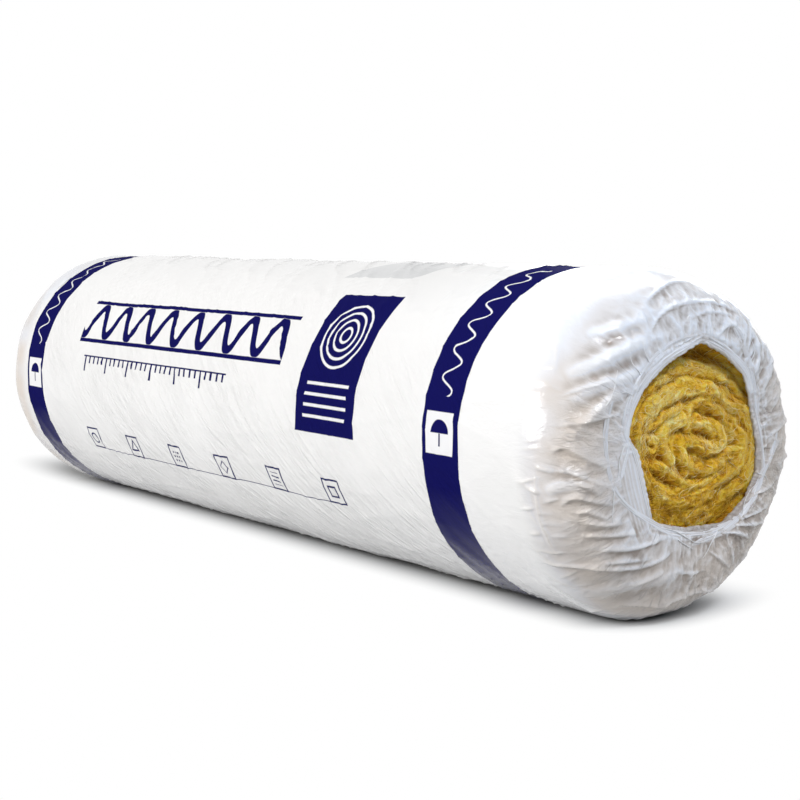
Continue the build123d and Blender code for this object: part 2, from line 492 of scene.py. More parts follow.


# Raise one crease along a line of (angle, run): soft, or sharp with a steep flank on its lower side and a
# painted shadow line along it
def raiseCrease(grid, height, shade, line, rise, width, soft=False):
    middle = line[len(line) // 2, 0]
    span = np.abs(angleGap(line[:, 0], middle)).max() + crease["margin"] * width / grid.reach.min()
    near = np.abs(angleGap(grid.angles[0], middle)) < span
    run, angle, reach = (values[:, near] for values in (grid.run, grid.angles, grid.reach))
    nearest = np.full(run.shape, rollRadius)
    above = np.zeros(run.shape)
    share = np.zeros(run.shape)
    for index, ((a0, s0), (a1, s1)) in enumerate(zip(line, line[1:])):
        u = angleGap(angle, a0) * reach
        v = run - s0
        du = angleGap(a1, a0) * reach
        dv = s1 - s0
        along = np.clip((u * du + v * dv) / (du * du + dv * dv + 1e-12), 0, 1)
        offU, offV = u - along * du, v - along * dv
        gap = np.hypot(offU, offV)
        closer = gap < nearest
        nearest = np.where(closer, gap, nearest)
        above = np.where(closer, np.cos(angle) * offU - np.sin(angle) * offV, above)
        share = np.where(closer, (index + along) / (len(line) - 1), share)
    body = np.sin(math.pi * np.clip(share, *crease["fade"])) ** crease["blunt"]
    if soft:
        height[:, near] += rise * body * np.exp(-(nearest / width) ** 2)
    else:
        lower, upper = crease["flanks"]
        flank = np.where(above < 0, width * lower, width * upper)
        height[:, near] += rise * body * np.exp(-nearest / flank)
        # Painted shadow: a dark line along the lower flank of a sharp crease
        under = np.exp(-((nearest - crease["lineOff"]) / crease["lineHalf"]) ** 2) * (above < 0)
        shade[:, near] = np.maximum(shade[:, near], under * body * min(rise / crease["lineRise"], 1))


# The puckers where the sleeve turns in, the short stray creases, and the listed creases
def creaseFilm(spec, grid, height, shade):
    rng = np.random.default_rng(spec["seed"])
    puckers = {**crease["puckers"], **spec["puckers"]}
    for index in range(puckers["count"]):
        centre = 2 * math.pi * (index + rng.uniform(-puckers["jitter"], puckers["jitter"])) / puckers["count"]
        middle = rng.uniform(puckers["from"], puckers["to"])
        half = rng.uniform(*puckers["half"])
        slant = rng.uniform(-puckers["slant"], puckers["slant"])
        line = np.array([(centre - slant, middle - half), (centre, middle), (centre + slant, middle + half)])
        rise = rng.uniform(*puckers["rise"]) * rng.uniform(0, 1)
        rise = rise * (1 - puckers["topFade"] * smoothStep(*puckers["top"], math.sin(centre)))
        raiseCrease(grid, height, shade, line, rise, rng.uniform(*puckers["width"]))
    strays = {**crease["strays"], **spec["strays"]}
    for _ in range(strays["count"]):
        centre = rng.uniform(0, 2 * math.pi)
        middle = rng.uniform(strays["from"], strays["to"])
        half = rng.uniform(*strays["half"])
        slant = rng.normal(0, strays["slant"])
        bow = centre + rng.normal(0, strays["bow"])
        line = np.array([(centre - slant, middle - half), (bow, middle), (centre + slant, middle + half)])
        share = strays["calm"] + (1 - strays["calm"]) * roughness(spec, centre)
        rise = rng.uniform(*strays["rise"]) * share
        raiseCrease(grid, height, shade, line, rise, rng.uniform(*strays["width"]))
    for soft, folds in ((False, spec["creases"]), (True, spec["softFolds"])):
        for points, rise, width in folds:
            line = np.array(points, float) * (math.pi / 180, 1)
            line[:, 0] = np.unwrap(line[:, 0])
            raiseCrease(grid, height, shade, smoothLine(line), rise, width, soft)


# Small facets where the film clings, fewer of them on the side that is pulled straight
def crumpleFilm(spec, grid, height):
    seed = spec["seed"]
    warp, pulls, facets, fine = (crumples[name] for name in ("warp", "pulls", "facets", "fine"))
    bent = warp["shift"] * gridNoise(grid, warp["size"], seed + 2)
    pulled = gradientNoise(
        grid.run / pulls["length"] + pulls["start"], grid.cos * pulls["round"] + bent * pulls["bend"],
        grid.sin * pulls["round"], seed + 3,
    )
    faceted = gridNoise(grid, facets["size"], seed + 4, bent)
    small = gridNoise(grid, fine["size"], seed + 5, -bent)
    clings = crumples["calm"] + (1 - crumples["calm"]) * grid.rough
    height += grid.crumple * pulls["rise"] * ridges(pulled, pulls["sharp"])
    height += grid.crumple * clings * facets["rise"] * ridges(faceted, facets["sharp"])
    valleys = fine["valleys"] * ridges(small + fine["apart"], fine["valleySharp"])
    height += grid.crumple * clings * fine["rise"] * (ridges(small, fine["sharp"]) - valleys)
    around = grid.angles / (2 * math.pi) + warp["round"] * bent
    for cells, size, rise, seat in spec["crushes"]:
        share = seat + (1 - seat) * grid.rough
        height += grid.crumple * share * rise * crushed(around, grid.run + bent, size, seed + cells, cells)
    return pulled


# Straight pleats of the panel beside the mouth, and taut lines along the rest of the rim
def pleatFilm(spec, grid, height):
    pleats, panel, taut = spec["pleats"], rim["panel"], rim["taut"]
    fromEnd, toEnd = panel["ends"]
    inPanel = smoothStep(0, fromEnd, grid.angles - math.radians(pleats["from"]))
    inPanel = inPanel * smoothStep(0, toEnd, math.radians(pleats["to"]) - grid.angles)
    inPanel = inPanel * smoothStep(pleats["deep"], pleats["deep"] - panel["edge"], grid.toMouth)
    height *= 1 - panel["flat"] * inPanel
    waves = 1 - np.abs(np.sin(math.pi * grid.toMouth / pleats["pitch"]))
    height += inPanel * pleats["rise"] * waves ** panel["sharp"]
    around = (grid.cos * taut["round"], grid.sin * taut["round"])
    lines = gradientNoise(grid.toMouth / taut["pitch"], *around, spec["seed"] + 6)
    beside = smoothStep(*taut["near"], grid.toMouth) * smoothStep(*taut["from"], grid.run) * (1 - inPanel)
    height += taut["rise"] * ridges(lines, taut["sharp"]) * beside
    return inPanel


# What the finish reads: tone with its painted shade and highlights, painted warm bounce light, run, and how
# drawn out and how crumpled the film is
def filmMarks(spec, grid, height, shade, inPanel):
    # Painted highlight on the crests and painted shade in the hollows, from the height over its local mean
    crest = sum((height - blurGrid(height, *window)) / full for window, full in drawnFilm["crests"])
    crest = drawnFilm["middle"] + crest * (1 - drawnFilm["topCalm"] * grid.onTop)
    crest = crest + drawnFilm["topPaintedLight"] * grid.onTop
    # Painted shade on the lower right and painted light on the left
    for turn, edge, paler in drawnFilm["sides"]:
        crest = crest + paler * smoothStep(*edge, np.cos(grid.angles + turn))
    # The painted shadow lines below the sharp creases darken the tone
    tone = 1 - grid.onEnd * (1 - np.clip(crest - crease["lineDepth"] * shade, 0, drawnFilm["palest"]))
    # Painted warm bounce light on the shoulder
    glow = drawnFilm["warm"]
    start = spec["drawnFrom"][0]
    warm = smoothStep(start, start + glow["rise"], grid.run) * smoothStep(*glow["fades"], grid.run)
    cloudy = glow["share"] * (1 + gridNoise(grid, glow["size"], spec["seed"] + 7))
    warm = warm * smoothStep(*glow["below"], grid.sin) * np.clip(cloudy, 0, 1)
    smooth = drawnFilm["smooth"]
    crumple = grid.crumple * (1 - inPanel)
    drawn = crumple * (1 - smooth["share"] * smoothStep(*smooth["above"], grid.sin))
    return {"tone": tone, "warm": warm, "run": grid.run, "drawn": drawn, "crumple": crumple * grid.rough}


def makeFilmEnd(spec):
    side = spec["side"]
    grid = endGrid(spec)
    dents = crumples["dents"]
    height = sleeveSwell(grid.x, grid.angles) * (1 - grid.onEnd)
    height += dents["rise"] * grid.onEnd * gridNoise(grid, dents["size"], spec["seed"] + 1)
    shade = 0 * height
    creaseFilm(spec, grid, height, shade)
    pulled = crumpleFilm(spec, grid, height)
    inPanel = pleatFilm(spec, grid, height)

    # The rolled rim runs straight, so it follows the folds only a little
    height *= rim["follow"] + (1 - rim["follow"]) * smoothStep(0, rim["beside"], grid.toMouth)
    twist = rim["twist"]
    phase = grid.angles * twist["round"] + grid.tilt * twist["lay"] + twist["wander"] * pulled
    cord = twist["rise"] * np.sin(phase)
    onRim = grid.toMouth < 1e-6
    forward = np.sin(grid.tilt)
    outward = np.cos(grid.tilt)
    x = grid.x + side * np.where(onRim, height + forward * cord, forward * height)
    reach = grid.reach + np.where(onRim, outward * cord, outward * height)
    marks = filmMarks(spec, grid, height, shade, inPanel)
    quads = ringQuads(len(x), spec["columns"])
    if side > 0:
        quads = quads[:, ::-1]
    return meshFromArrays(spec["name"], placeFilm(x, reach, grid.angles), marks, quads), x, reach


filmBarrel = makeBarrel()
filmNear, nearFilmX, nearFilmReach = makeFilmEnd(nearEnd)
filmFar = makeFilmEnd(farEnd)[0]


# Taut ribbons of film round the near mouth, and thin threads. Points are across and up from the axis.
strands = {
    "seed": 55,
    "steps": 12,       # points of a line from one given point to the next
    "across": 19,      # points over a ribbon's width
    "lift": 0.0002,    # of a ribbon's middle, or of a thread, over the film
    "tuck": 0.0006,    # of a ribbon's edges into it
    "uneven": {"share": 0.35, "size": 0.03, "seed": 56},   # of a ribbon's width
    "ends": {"steep": 2.2, "least": 0.25, "lowSteep": 1.6, "lowFrom": 0.4},   # how a ribbon narrows and sinks
    "ribs": {
        "rise": 0.0009, "across": 1.1, "wander": 0.25, "length": 0.07, "sharp": 2, "seed": 57,
        "apart": (3, 1.7),   # so that no two ribbons have the same ones
    },
    "crown": 3,        # how flat a ribbon is over its width
    # Tones of the ribbons: painted shade in the hollows between ribs and along the tucked edges, painted
    # highlight on the ribs and crown; threads pale as doubled film
    "tones": {"paintedHollowShade": 0.40, "rib": 0.62, "crown": 0.1, "palest": 0.99, "thread": 0.97},
    "smooth": {"ribbon": 8, "thread": 4},   # points each way over which the film's folds are evened out
    "bow": (0.00048, 0.00192),              # of a thread's middle over its ends
    "thin": (1.2, 0.25),                    # share of a thread's thickness at its start, and the least of it
    "sides": 6,
    "ribbons": [
        # points, width, folds over the width
        ([(0.014, 0.106), (-0.013, 0.099), (-0.043, 0.086), (-0.064, 0.069), (-0.077, 0.052), (-0.084, 0.036),
          (-0.087, 0.021), (-0.086, 0.008)], 0.0090, 4),
        ([(0.020, 0.112), (-0.024, 0.106), (-0.054, 0.091), (-0.075, 0.073), (-0.087, 0.054), (-0.092, 0.036),
          (-0.091, 0.022)], 0.0050, 2),
        ([(0.008, 0.108), (0.036, 0.099), (0.058, 0.086), (0.074, 0.072), (0.081, 0.058), (0.086, 0.044)],
         0.0090, 4),
        ([(0.050, 0.124), (0.065, 0.106), (0.076, 0.086), (0.084, 0.066), (0.090, 0.043), (0.097, 0.022)],
         0.0075, 3),
        ([(0.086, 0.046), (0.094, 0.022), (0.100, -0.002), (0.101, -0.028), (0.096, -0.040)], 0.0034, 2),
        ([(-0.087, 0.026), (-0.085, 0.010), (-0.089, -0.005), (-0.096, -0.024)], 0.0060, 3),
        ([(-0.084, 0.018), (-0.075, 0.000), (-0.067, -0.022), (-0.060, -0.046), (-0.054, -0.066)], 0.0050, 2),
        ([(-0.098, 0.074), (-0.108, 0.055), (-0.112, 0.035), (-0.113, 0.015), (-0.109, -0.012),
          (-0.102, -0.027), (-0.088, -0.042), (-0.064, -0.058), (-0.043, -0.069), (-0.020, -0.082),
          (-0.003, -0.089)], 0.0065, 2),
        ([(-0.060, -0.062), (-0.031, -0.075), (0.001, -0.081), (0.033, -0.081), (0.056, -0.074)], 0.0062, 3),
        ([(-0.016, -0.095), (0.012, -0.090), (0.033, -0.086), (0.048, -0.081), (0.065, -0.072),
          (0.081, -0.059), (0.093, -0.044), (0.101, -0.030), (0.111, -0.014), (0.120, 0.004),
          (0.126, 0.022)], 0.0076, 4),
    ],
    "threads": [
        # points, half thickness
        ([(-0.103, -0.026), (-0.105, -0.040), (-0.106, -0.052), (-0.105, -0.062)], 0.0006),
        ([(0.038, -0.082), (0.031, -0.088), (0.025, -0.097), (0.018, -0.106)], 0.0008),
        ([(-0.018, -0.084), (-0.006, -0.091), (0.004, -0.096)], 0.0006),
        ([(-0.090, 0.012), (-0.096, -0.002), (-0.098, -0.014), (-0.103, -0.022)], 0.0007),
        ([(-0.083, 0.058), (-0.094, 0.062), (-0.102, 0.060)], 0.0005),
        ([(-0.072, 0.076), (-0.082, 0.086), (-0.086, 0.098)], 0.0005),
        ([(-0.060, 0.086), (-0.068, 0.098), (-0.070, 0.108)], 0.0004),
        ([(0.078, 0.080), (0.084, 0.092), (0.082, 0.104)], 0.0006),
        ([(0.094, -0.030), (0.104, -0.034), (0.110, -0.042)], 0.0006),
        ([(-0.116, 0.050), (-0.110, 0.060), (-0.100, 0.082)], 0.0006),
        ([(-0.040, -0.070), (-0.020, -0.076), (0.010, -0.090), (0.040, -0.086)], 0.0006),
        ([(0.070, -0.070), (0.078, -0.050), (0.099, -0.036)], 0.0006),
    ],
}


# Where the near film stands along x at places across and up from the axis
def nearFilmAt(y, z):
    columns = nearEnd["columns"]
    column = np.round(np.arctan2(z, y) / (2 * math.pi) * columns).astype(int) % columns
    first = nearEnd["barrelRows"] + nearEnd["shoulderRows"] // 2
    rows = slice(first, len(nearFilmX) - nearEnd["rimRows"] + 1)
    reaches = nearFilmReach[rows][:, column]
    row = np.abs(reaches - np.hypot(y, z)[None, :]).argmin(0)
    return nearFilmX[rows][:, column][row, np.arange(len(column))]


# A line's points with its heading turned a quarter, to step sideways from it
def sidewaysOf(line):
    heading = np.gradient(line, axis=0)
    heading /= np.linalg.norm(heading, axis=1, keepdims=True)
    return np.stack([-heading[:, 1], heading[:, 0]], -1)


# Mean of a line of numbers over a small window
def windowMean(values, half):
    width = 2 * half + 1
    return np.convolve(np.pad(values, half, "edge"), np.full(width, 1 / width), "valid")


# A ribbon with folds along it, laid on the film: places, tone, quads, and no end caps
def ribbonGrid(index, points, width, folds):
    across = strands["across"]
    uneven, ends, ribs, tones = (strands[name] for name in ("uneven", "ends", "ribs", "tones"))
    u = np.linspace(-1, 1, across)[None, :]
    middle = smoothLine(points, strands["steps"])
    along = np.linspace(0, 1, len(middle))[:, None]
    walked = np.cumsum(np.linalg.norm(np.gradient(middle, axis=0), axis=1))[:, None]
    taper = np.clip(np.sin(math.pi * along) * ends["steep"], ends["least"], 1)
    wander = gradientNoise(walked / uneven["size"], 0 * walked + index, 0 * walked, uneven["seed"])
    wide = 1 + uneven["share"] * wander
    reach = u * width / 2 * taper * wide
    spots = middle[:, None, :] + sidewaysOf(middle)[:, None, :] * reach[:, :, None]
    x = nearFilmAt(spots[..., 0].ravel(), spots[..., 1].ravel()).reshape(reach.shape)
    x = np.apply_along_axis(windowMean, 0, x, strands["smooth"]["ribbon"])
    apartAlong, apart = ribs["apart"]
    ribbed = ridges(gradientNoise(
        u * folds * ribs["across"] + ribs["wander"] * wide, walked / ribs["length"] + apartAlong * index,
        0 * u + index * apart, ribs["seed"],
    ), ribs["sharp"])
    swell = (1 - np.abs(u) ** strands["crown"]) * np.clip(taper * ends["lowSteep"] - ends["lowFrom"], 0, 1)
    x = x + swell * (strands["lift"] + ribs["rise"] * ribbed) - strands["tuck"] * (1 - swell)
    places = np.stack([x, spots[..., 0], rollRadius + spots[..., 1]], -1)
    # Painted shade in the hollows and tucked edges, painted highlight on the ribs
    tone = tones["paintedHollowShade"] + tones["rib"] * ribbed * swell + tones["crown"] * swell
    tone = np.clip(tone, 0, tones["palest"])
    cells = np.arange(len(middle) - 1)[:, None] * across + np.arange(across - 1)[None, :]
    ahead = cells + across
    quads = np.stack([cells, ahead, ahead + 1, cells + 1], -1)
    return places.reshape(-1, 3), tone.ravel(), quads.reshape(-1, 4), np.zeros((0, 3), int)


# A thread lying on the film: places, tone, quads and end caps
def threadTube(points, thick, bow):
    line = smoothLine(points, strands["steps"])
    along = np.linspace(0, 1, len(line))
    x = windowMean(nearFilmAt(line[:, 0], line[:, 1]), strands["smooth"]["thread"]) + strands["lift"]
    x = x + bow * np.sin(math.pi * along)
    start, least = strands["thin"]
    taper = np.clip(start - along, least, 1)[None, :, None]
    path = np.stack([x, line[:, 0], rollRadius + line[:, 1]], -1)[None]
    places, quads, caps = tubes(path, thick * taper, strands["sides"])
    return places, np.full(len(places), strands["tones"]["thread"]), quads, caps


def makeStrands():
    rng = np.random.default_rng(strands["seed"])
    made = [ribbonGrid(index, *ribbon) for index, ribbon in enumerate(strands["ribbons"])]
    made += [threadTube(*thread, rng.uniform(*strands["bow"])) for thread in strands["threads"]]
    places, tones, quads, caps = zip(*made)
    firsts = np.cumsum([0] + [len(part) for part in places])
    quads = np.concatenate([part + first for part, first in zip(quads, firsts)])
    caps = np.concatenate([part + first for part, first in zip(caps, firsts)])
    marks = {"tone": np.concatenate(tones)}
    return meshFromArrays("film_strands", np.concatenate(places), marks, quads, caps)


filmStrands = makeStrands()


# Wool: the rolled mat, its ends dished behind the mouths
wool = {
    "columns": 512,
    "nearRows": 138,
    "farRows": 40,
    "bendRows": 5,
    "gap": 0.0023,           # from the outside of the film to the wool
    "under": 0.0033,         # least depth of the wool's face behind the end plane
    "firstRing": 0.0004,     # reach of the face's first ring
    "faceEdge": 0.0020,      # from its last ring to the shoulder
    "hiddenTone": 0.5,       # of the wool under the film
    "lip": (0.096, 0.107),   # reach across which it rises to the film
    "eye": (0.020, -0.002),  # middle of the near spiral, across and up from the axis
    "floorDepth": 0.0170,    # depth of the gaps between the folds
    "topSink": 0.0095,       # how much deeper the wool lies at the top, and where
    "topFrom": (0.055, 0.100),
    "lowSink": 0.0045,       # how much deeper it lies at the bottom, and where
    "lowFrom": (-0.045, -0.082),
    "rightLift": 0.0090,     # how much shallower it lies along the right, and where
    "rightFrom": (0.058, 0.088),
    "rightHeights": ((-0.075, -0.035), (0.060, 0.030)),
    "seed": 90,
    "section": (2.2, 0.65),  # how square a fold is, and how blunt its top
    "foldSteps": 3,          # points of a fold from one given point to the next
    "foldEdge": 1.6,         # half-widths from a fold within which its fibres follow it
    "foldStart": 0.37,       # shift of the felt from one fold to the next
    "warp": {"shift": 0.0030, "size": 0.020, "fineSize": 0.008, "fineShare": 0.6, "layers": (0.0, 7.5)},
    "uneven": {"share": 0.28, "size": 0.030},   # of the folds' height
    "flat": {"share": 0.60, "below": (-0.025, -0.060)},   # how much lower the folds are below, and where
    "felt": [(0.020, 0.0050), (0.008, 0.0024)],   # length and width of its coarse and its fine layers
    "tuftSize": 0.010,
    "curls": {"size": 0.0052, "shift": 0.004, "sharp": 1.4},
    "layers": {
        # how far each stands out, and how much paler it is: the gaps get painted shade, partly the wool's own
        # deeper colour
        "folds": (0.0070, 0.34), "felt": (0.0012, 0.56), "fine": (0.0005, 0.40), "tufts": (0.0011, 0.20),
        "curls": (0.0007, 0.34),
    },
    "paleness": -0.039,
    "clouds": {"size": 0.024, "paler": 0.20},
    "middle": {"within": (0.055, 0.025), "paler": -0.03},
    "left": {"past": (-0.025, -0.055), "paler": -0.24},
    "low": {"below": (-0.030, -0.060), "paler": 0.05},
    "folds": [
        # the turns from the outside in, then the crushed middle: points across and up, half the width, rise
        ([(-0.078, 0.004), (-0.072, 0.030), (-0.059, 0.051), (-0.039, 0.067), (-0.017, 0.077), (0.010, 0.081),
          (0.042, 0.077), (0.070, 0.063), (0.090, 0.043), (0.104, 0.014)], 0.0105, 0.85),
        ([(-0.066, -0.040), (-0.036, -0.061), (-0.013, -0.068), (0.018, -0.071), (0.046, -0.069),
          (0.066, -0.059), (0.084, -0.042), (0.098, -0.023), (0.106, -0.004)], 0.0110, 0.75),
        ([(-0.052, -0.014), (-0.057, 0.000), (-0.058, 0.015), (-0.049, 0.034), (-0.033, 0.046),
          (-0.008, 0.055), (0.023, 0.057), (0.051, 0.049), (0.071, 0.037), (0.086, 0.021), (0.094, 0.003),
          (0.096, -0.016), (0.088, -0.034)], 0.0115, 1.05),
        ([(-0.056, -0.010), (-0.046, -0.027), (-0.036, -0.039), (-0.021, -0.049), (-0.002, -0.054),
          (0.022, -0.053), (0.041, -0.046), (0.057, -0.035), (0.070, -0.022), (0.080, -0.010)], 0.0105, 1.05),
        ([(0.002, -0.006), (-0.001, 0.004), (0.008, 0.008), (0.024, 0.003), (0.040, -0.003), (0.052, 0.001),
          (0.054, 0.010), (0.041, 0.019), (0.023, 0.023)], 0.0078, 1.15),
        ([(0.001, 0.002), (0.002, -0.007), (0.011, -0.015), (0.015, -0.022), (0.007, -0.024)], 0.0075, 1.05),
        ([(0.010, 0.020), (0.010, 0.032), (0.019, 0.041), (0.037, 0.041), (0.051, 0.034), (0.064, 0.023),
          (0.071, 0.010)], 0.0066, 0.90),
        ([(-0.016, -0.010), (-0.026, 0.005), (-0.025, 0.017), (-0.013, 0.024), (0.000, 0.027)], 0.0076, 1.00),
        ([(-0.044, 0.021), (-0.034, 0.028), (-0.019, 0.035), (-0.004, 0.040)], 0.0064, 0.90),
        ([(-0.047, 0.000), (-0.038, -0.004), (-0.035, 0.006), (-0.043, 0.011)], 0.0058, 0.85),
        ([(-0.042, -0.010), (-0.029, -0.017), (-0.014, -0.024), (0.000, -0.033)], 0.0070, 0.85),
        ([(0.056, -0.010), (0.070, -0.008), (0.080, -0.006), (0.079, 0.004), (0.070, 0.013)], 0.0072, 0.90),
        ([(0.020, -0.021), (0.038, -0.022), (0.054, -0.018), (0.066, -0.026)], 0.0080, 0.95),
        ([(0.002, -0.040), (0.018, -0.037), (0.036, -0.034), (0.048, -0.030)], 0.0064, 0.80),
    ],
}


# For places across and up: rise of the nearest fold, where on it they are, and its heading
def nearestFold(y, z):
    eyeY, eyeZ = wool["eye"]
    nearest = np.full(np.shape(y), wool["foldEdge"])
    along = np.hypot(y - eyeY, z - eyeZ)
    across = 0 * y
    rise = 0 * y + 1
    heading = np.arctan2(z - eyeZ, y - eyeY) + math.pi / 2
    for index, (points, half, foldRise) in enumerate(wool["folds"]):
        line = smoothLine(points, wool["foldSteps"])
        walked = wool["foldStart"] * index
        for (y0, z0), (y1, z1) in zip(line, line[1:]):
            dy, dz = y1 - y0, z1 - z0
            length = math.hypot(dy, dz)
            share = np.clip(((y - y0) * dy + (z - z0) * dz) / length ** 2, 0, 1)
            offY, offZ = y - y0 - share * dy, z - z0 - share * dz
            gap = np.hypot(offY, offZ)
            closer = gap / half < nearest
            nearest = np.where(closer, gap / half, nearest)
            across = np.where(closer, np.sign(dy * offZ - dz * offY) * gap, across)
            along = np.where(closer, walked + share * length, along)
            rise = np.where(closer, foldRise, rise)
            heading = np.where(closer, math.atan2(dz, dy), heading)
            walked += length
    boxy, blunt = wool["section"]
    return rise * np.clip(1 - nearest ** boxy, 0, 1) ** blunt, along, across, heading


# How deep the face of the wool lies behind the end plane, how pale it is there with painted shade in its
# gaps, and how its fibres run
def woolFace(y, z):
    seed = wool["seed"]
    warp, uneven, flat, curls = (wool[name] for name in ("warp", "uneven", "flat", "curls"))
    warpY, warpZ = (
        patchNoise(y, z, warp["size"], seed, layer)
        + warp["fineShare"] * patchNoise(y, z, warp["fineSize"], seed + 1, layer)
        for layer in warp["layers"]
    )
    folds, along, across, heading = nearestFold(y + warp["shift"] * warpY, z + warp["shift"] * warpZ)
    folds = folds * (1 + uneven["share"] * patchNoise(y, z, uneven["size"], seed + 9))
    folds = folds * (1 - flat["share"] * smoothStep(*flat["below"], z))

    # Layers of felt along the folds, and tufts that have come loose
    felt, fine = (
        gradientNoise(along / length, across / width, 0 * y + 0.5, seed + step)
        for step, (length, width) in enumerate(wool["felt"], 5)
    )
    tufts = patchNoise(y, z, wool["tuftSize"], seed + 3)
    movedY, movedZ = y + curls["shift"] * warpZ, z - curls["shift"] * warpY
    curled = ridges(patchNoise(movedY, movedZ, curls["size"], seed + 4), curls["sharp"])
    heights = {"folds": folds, "felt": felt, "fine": fine, "tufts": tufts, "curls": curled}

    depth = wool["floorDepth"] + wool["topSink"] * smoothStep(*wool["topFrom"], z)
    depth = depth + wool["lowSink"] * smoothStep(*wool["lowFrom"], z)
    bulge = smoothStep(*wool["rightFrom"], y)
    for edge in wool["rightHeights"]:
        bulge = bulge * smoothStep(*edge, z)
    depth = depth - wool["rightLift"] * bulge
    pale = wool["paleness"]
    # Paler where it stands out: painted shade in the gaps, partly the wool's own colour
    for name, (rise, paler) in wool["layers"].items():
        depth = depth - rise * heights[name]
        pale = pale + paler * heights[name]

    clouds, middle, left, low = (wool[name] for name in ("clouds", "middle", "left", "low"))
    eyeY, eyeZ = wool["eye"]
    pale = pale + clouds["paler"] * patchNoise(y, z, clouds["size"], seed + 8)
    pale = pale + middle["paler"] * smoothStep(*middle["within"], np.hypot(y - eyeY, z - eyeZ))
    pale = pale + left["paler"] * smoothStep(*left["past"], y) + low["paler"] * smoothStep(*low["below"], z)
    lip = smoothStep(*wool["lip"], np.hypot(y, z))
    return np.maximum(depth, wool["under"]) * (1 - lip) + wool["under"] * lip, pale, heading


def makeWool():
    columns = wool["columns"]
    angle = np.linspace(0, 2 * math.pi, columns, endpoint=False)[None, :]
    gap = wool["gap"]
    outer = rollRadius - gap
    nearShoulder = nearEnd["shoulder"] - gap
    farShoulder = farEnd["shoulder"] - gap
    first, edge = wool["firstRing"], wool["faceEdge"]
    near = np.linspace(first, outer - nearShoulder - edge, wool["nearRows"])[:, None]
    far = np.linspace(outer - farShoulder - edge, first, wool["farRows"])[:, None]
    bend = np.linspace(math.pi / 2, 0, wool["bendRows"])[:, None]
    back = bend[::-1]
    nearDepth, nearPale, _ = woolFace(near * np.cos(angle), near * np.sin(angle))
    farDepth, farPale, _ = woolFace(-far * np.cos(angle), far * np.sin(angle))
    x = np.concatenate([
        nearX - nearDepth,
        nearX - gap - nearShoulder * (1 - np.sin(bend)) + 0 * angle,
        farX + gap + farShoulder * (1 - np.sin(back)) + 0 * angle,
        farX + farDepth,
    ])
    reach = np.concatenate([
        near + 0 * angle,
        outer - nearShoulder * (1 - np.cos(bend)) + 0 * angle,
        outer - farShoulder * (1 - np.cos(back)) + 0 * angle,
        far + 0 * angle,
    ])
    hidden = wool["hiddenTone"] + 0 * bend * angle
    tone = np.concatenate([nearPale, hidden, hidden, farPale])
    places = np.stack([x, reach * np.cos(angle), rollRadius + reach * np.sin(angle)], -1).reshape(-1, 3)
    rows = len(x)
    middles = np.array([[x[0].mean(), 0, rollRadius], [x[-1].mean(), 0, rollRadius]])
    middleTones = np.full(2, wool["hiddenTone"])
    column = np.arange(columns)
    after = (column + 1) % columns
    last = (rows - 1) * columns
    middle = rows * columns
    nearFan = np.stack([column, after, 0 * column + middle], -1)
    farFan = np.stack([last + after, last + column, 0 * column + middle + 1], -1)
    return meshFromArrays(
        "wool_mat", np.concatenate([places, middles]), {"tone": np.concatenate([tone.ravel(), middleTones])},
        ringQuads(rows, columns)[:, ::-1], np.concatenate([nearFan, farFan]),
    )


woolMat = makeWool()


# Loose fibres on the wool: thin three-sided tubes that follow the turns and lift off here and there
fibres = {
    "sides": 3,
    "steps": (0.5, 1.7),      # least and longest step from point to point, against the kind's own
    "lifts": (0.1, 1.0),      # the same of the lift
    "toneSpread": 0.16,
    "palest": 1.2,
    "off": 0.0002,            # from the wool to a fibre's middle line
    "leastDepth": 0.0020,     # behind the end plane
    "overrun": 0.35,          # points past each of its ends where a fibre's thickness would come to nought
    "thinnest": 0.15,         # share of its thickness that it keeps there
    "kinds": {
        # name: end, count, points, seed, reach, step, spread of the heading, curl, lift, half thickness,
        # and how much paler than the wool they are
        "wool_fibres": (1, 3000, 7, 7, 0.104, 0.0046, 0.30, 0.10, 0.0011, (0.00006, 0.00018), 0.10),
        "wool_fluff": (1, 2600, 7, 8, 0.104, 0.0019, 1.30, 0.40, 0.0040, (0.00006, 0.00016), 0.20),
        "wool_locks": (1, 600, 10, 10, 0.098, 0.0017, 0.90, 0.50, 0.0030, (0.00016, 0.00036), 0.40),
        "wool_fibres_far": (-1, 1500, 6, 9, 0.082, 0.0034, 0.60, 0.25, 0.0026, (0.00012, 0.00032), 0.06),
    },
}


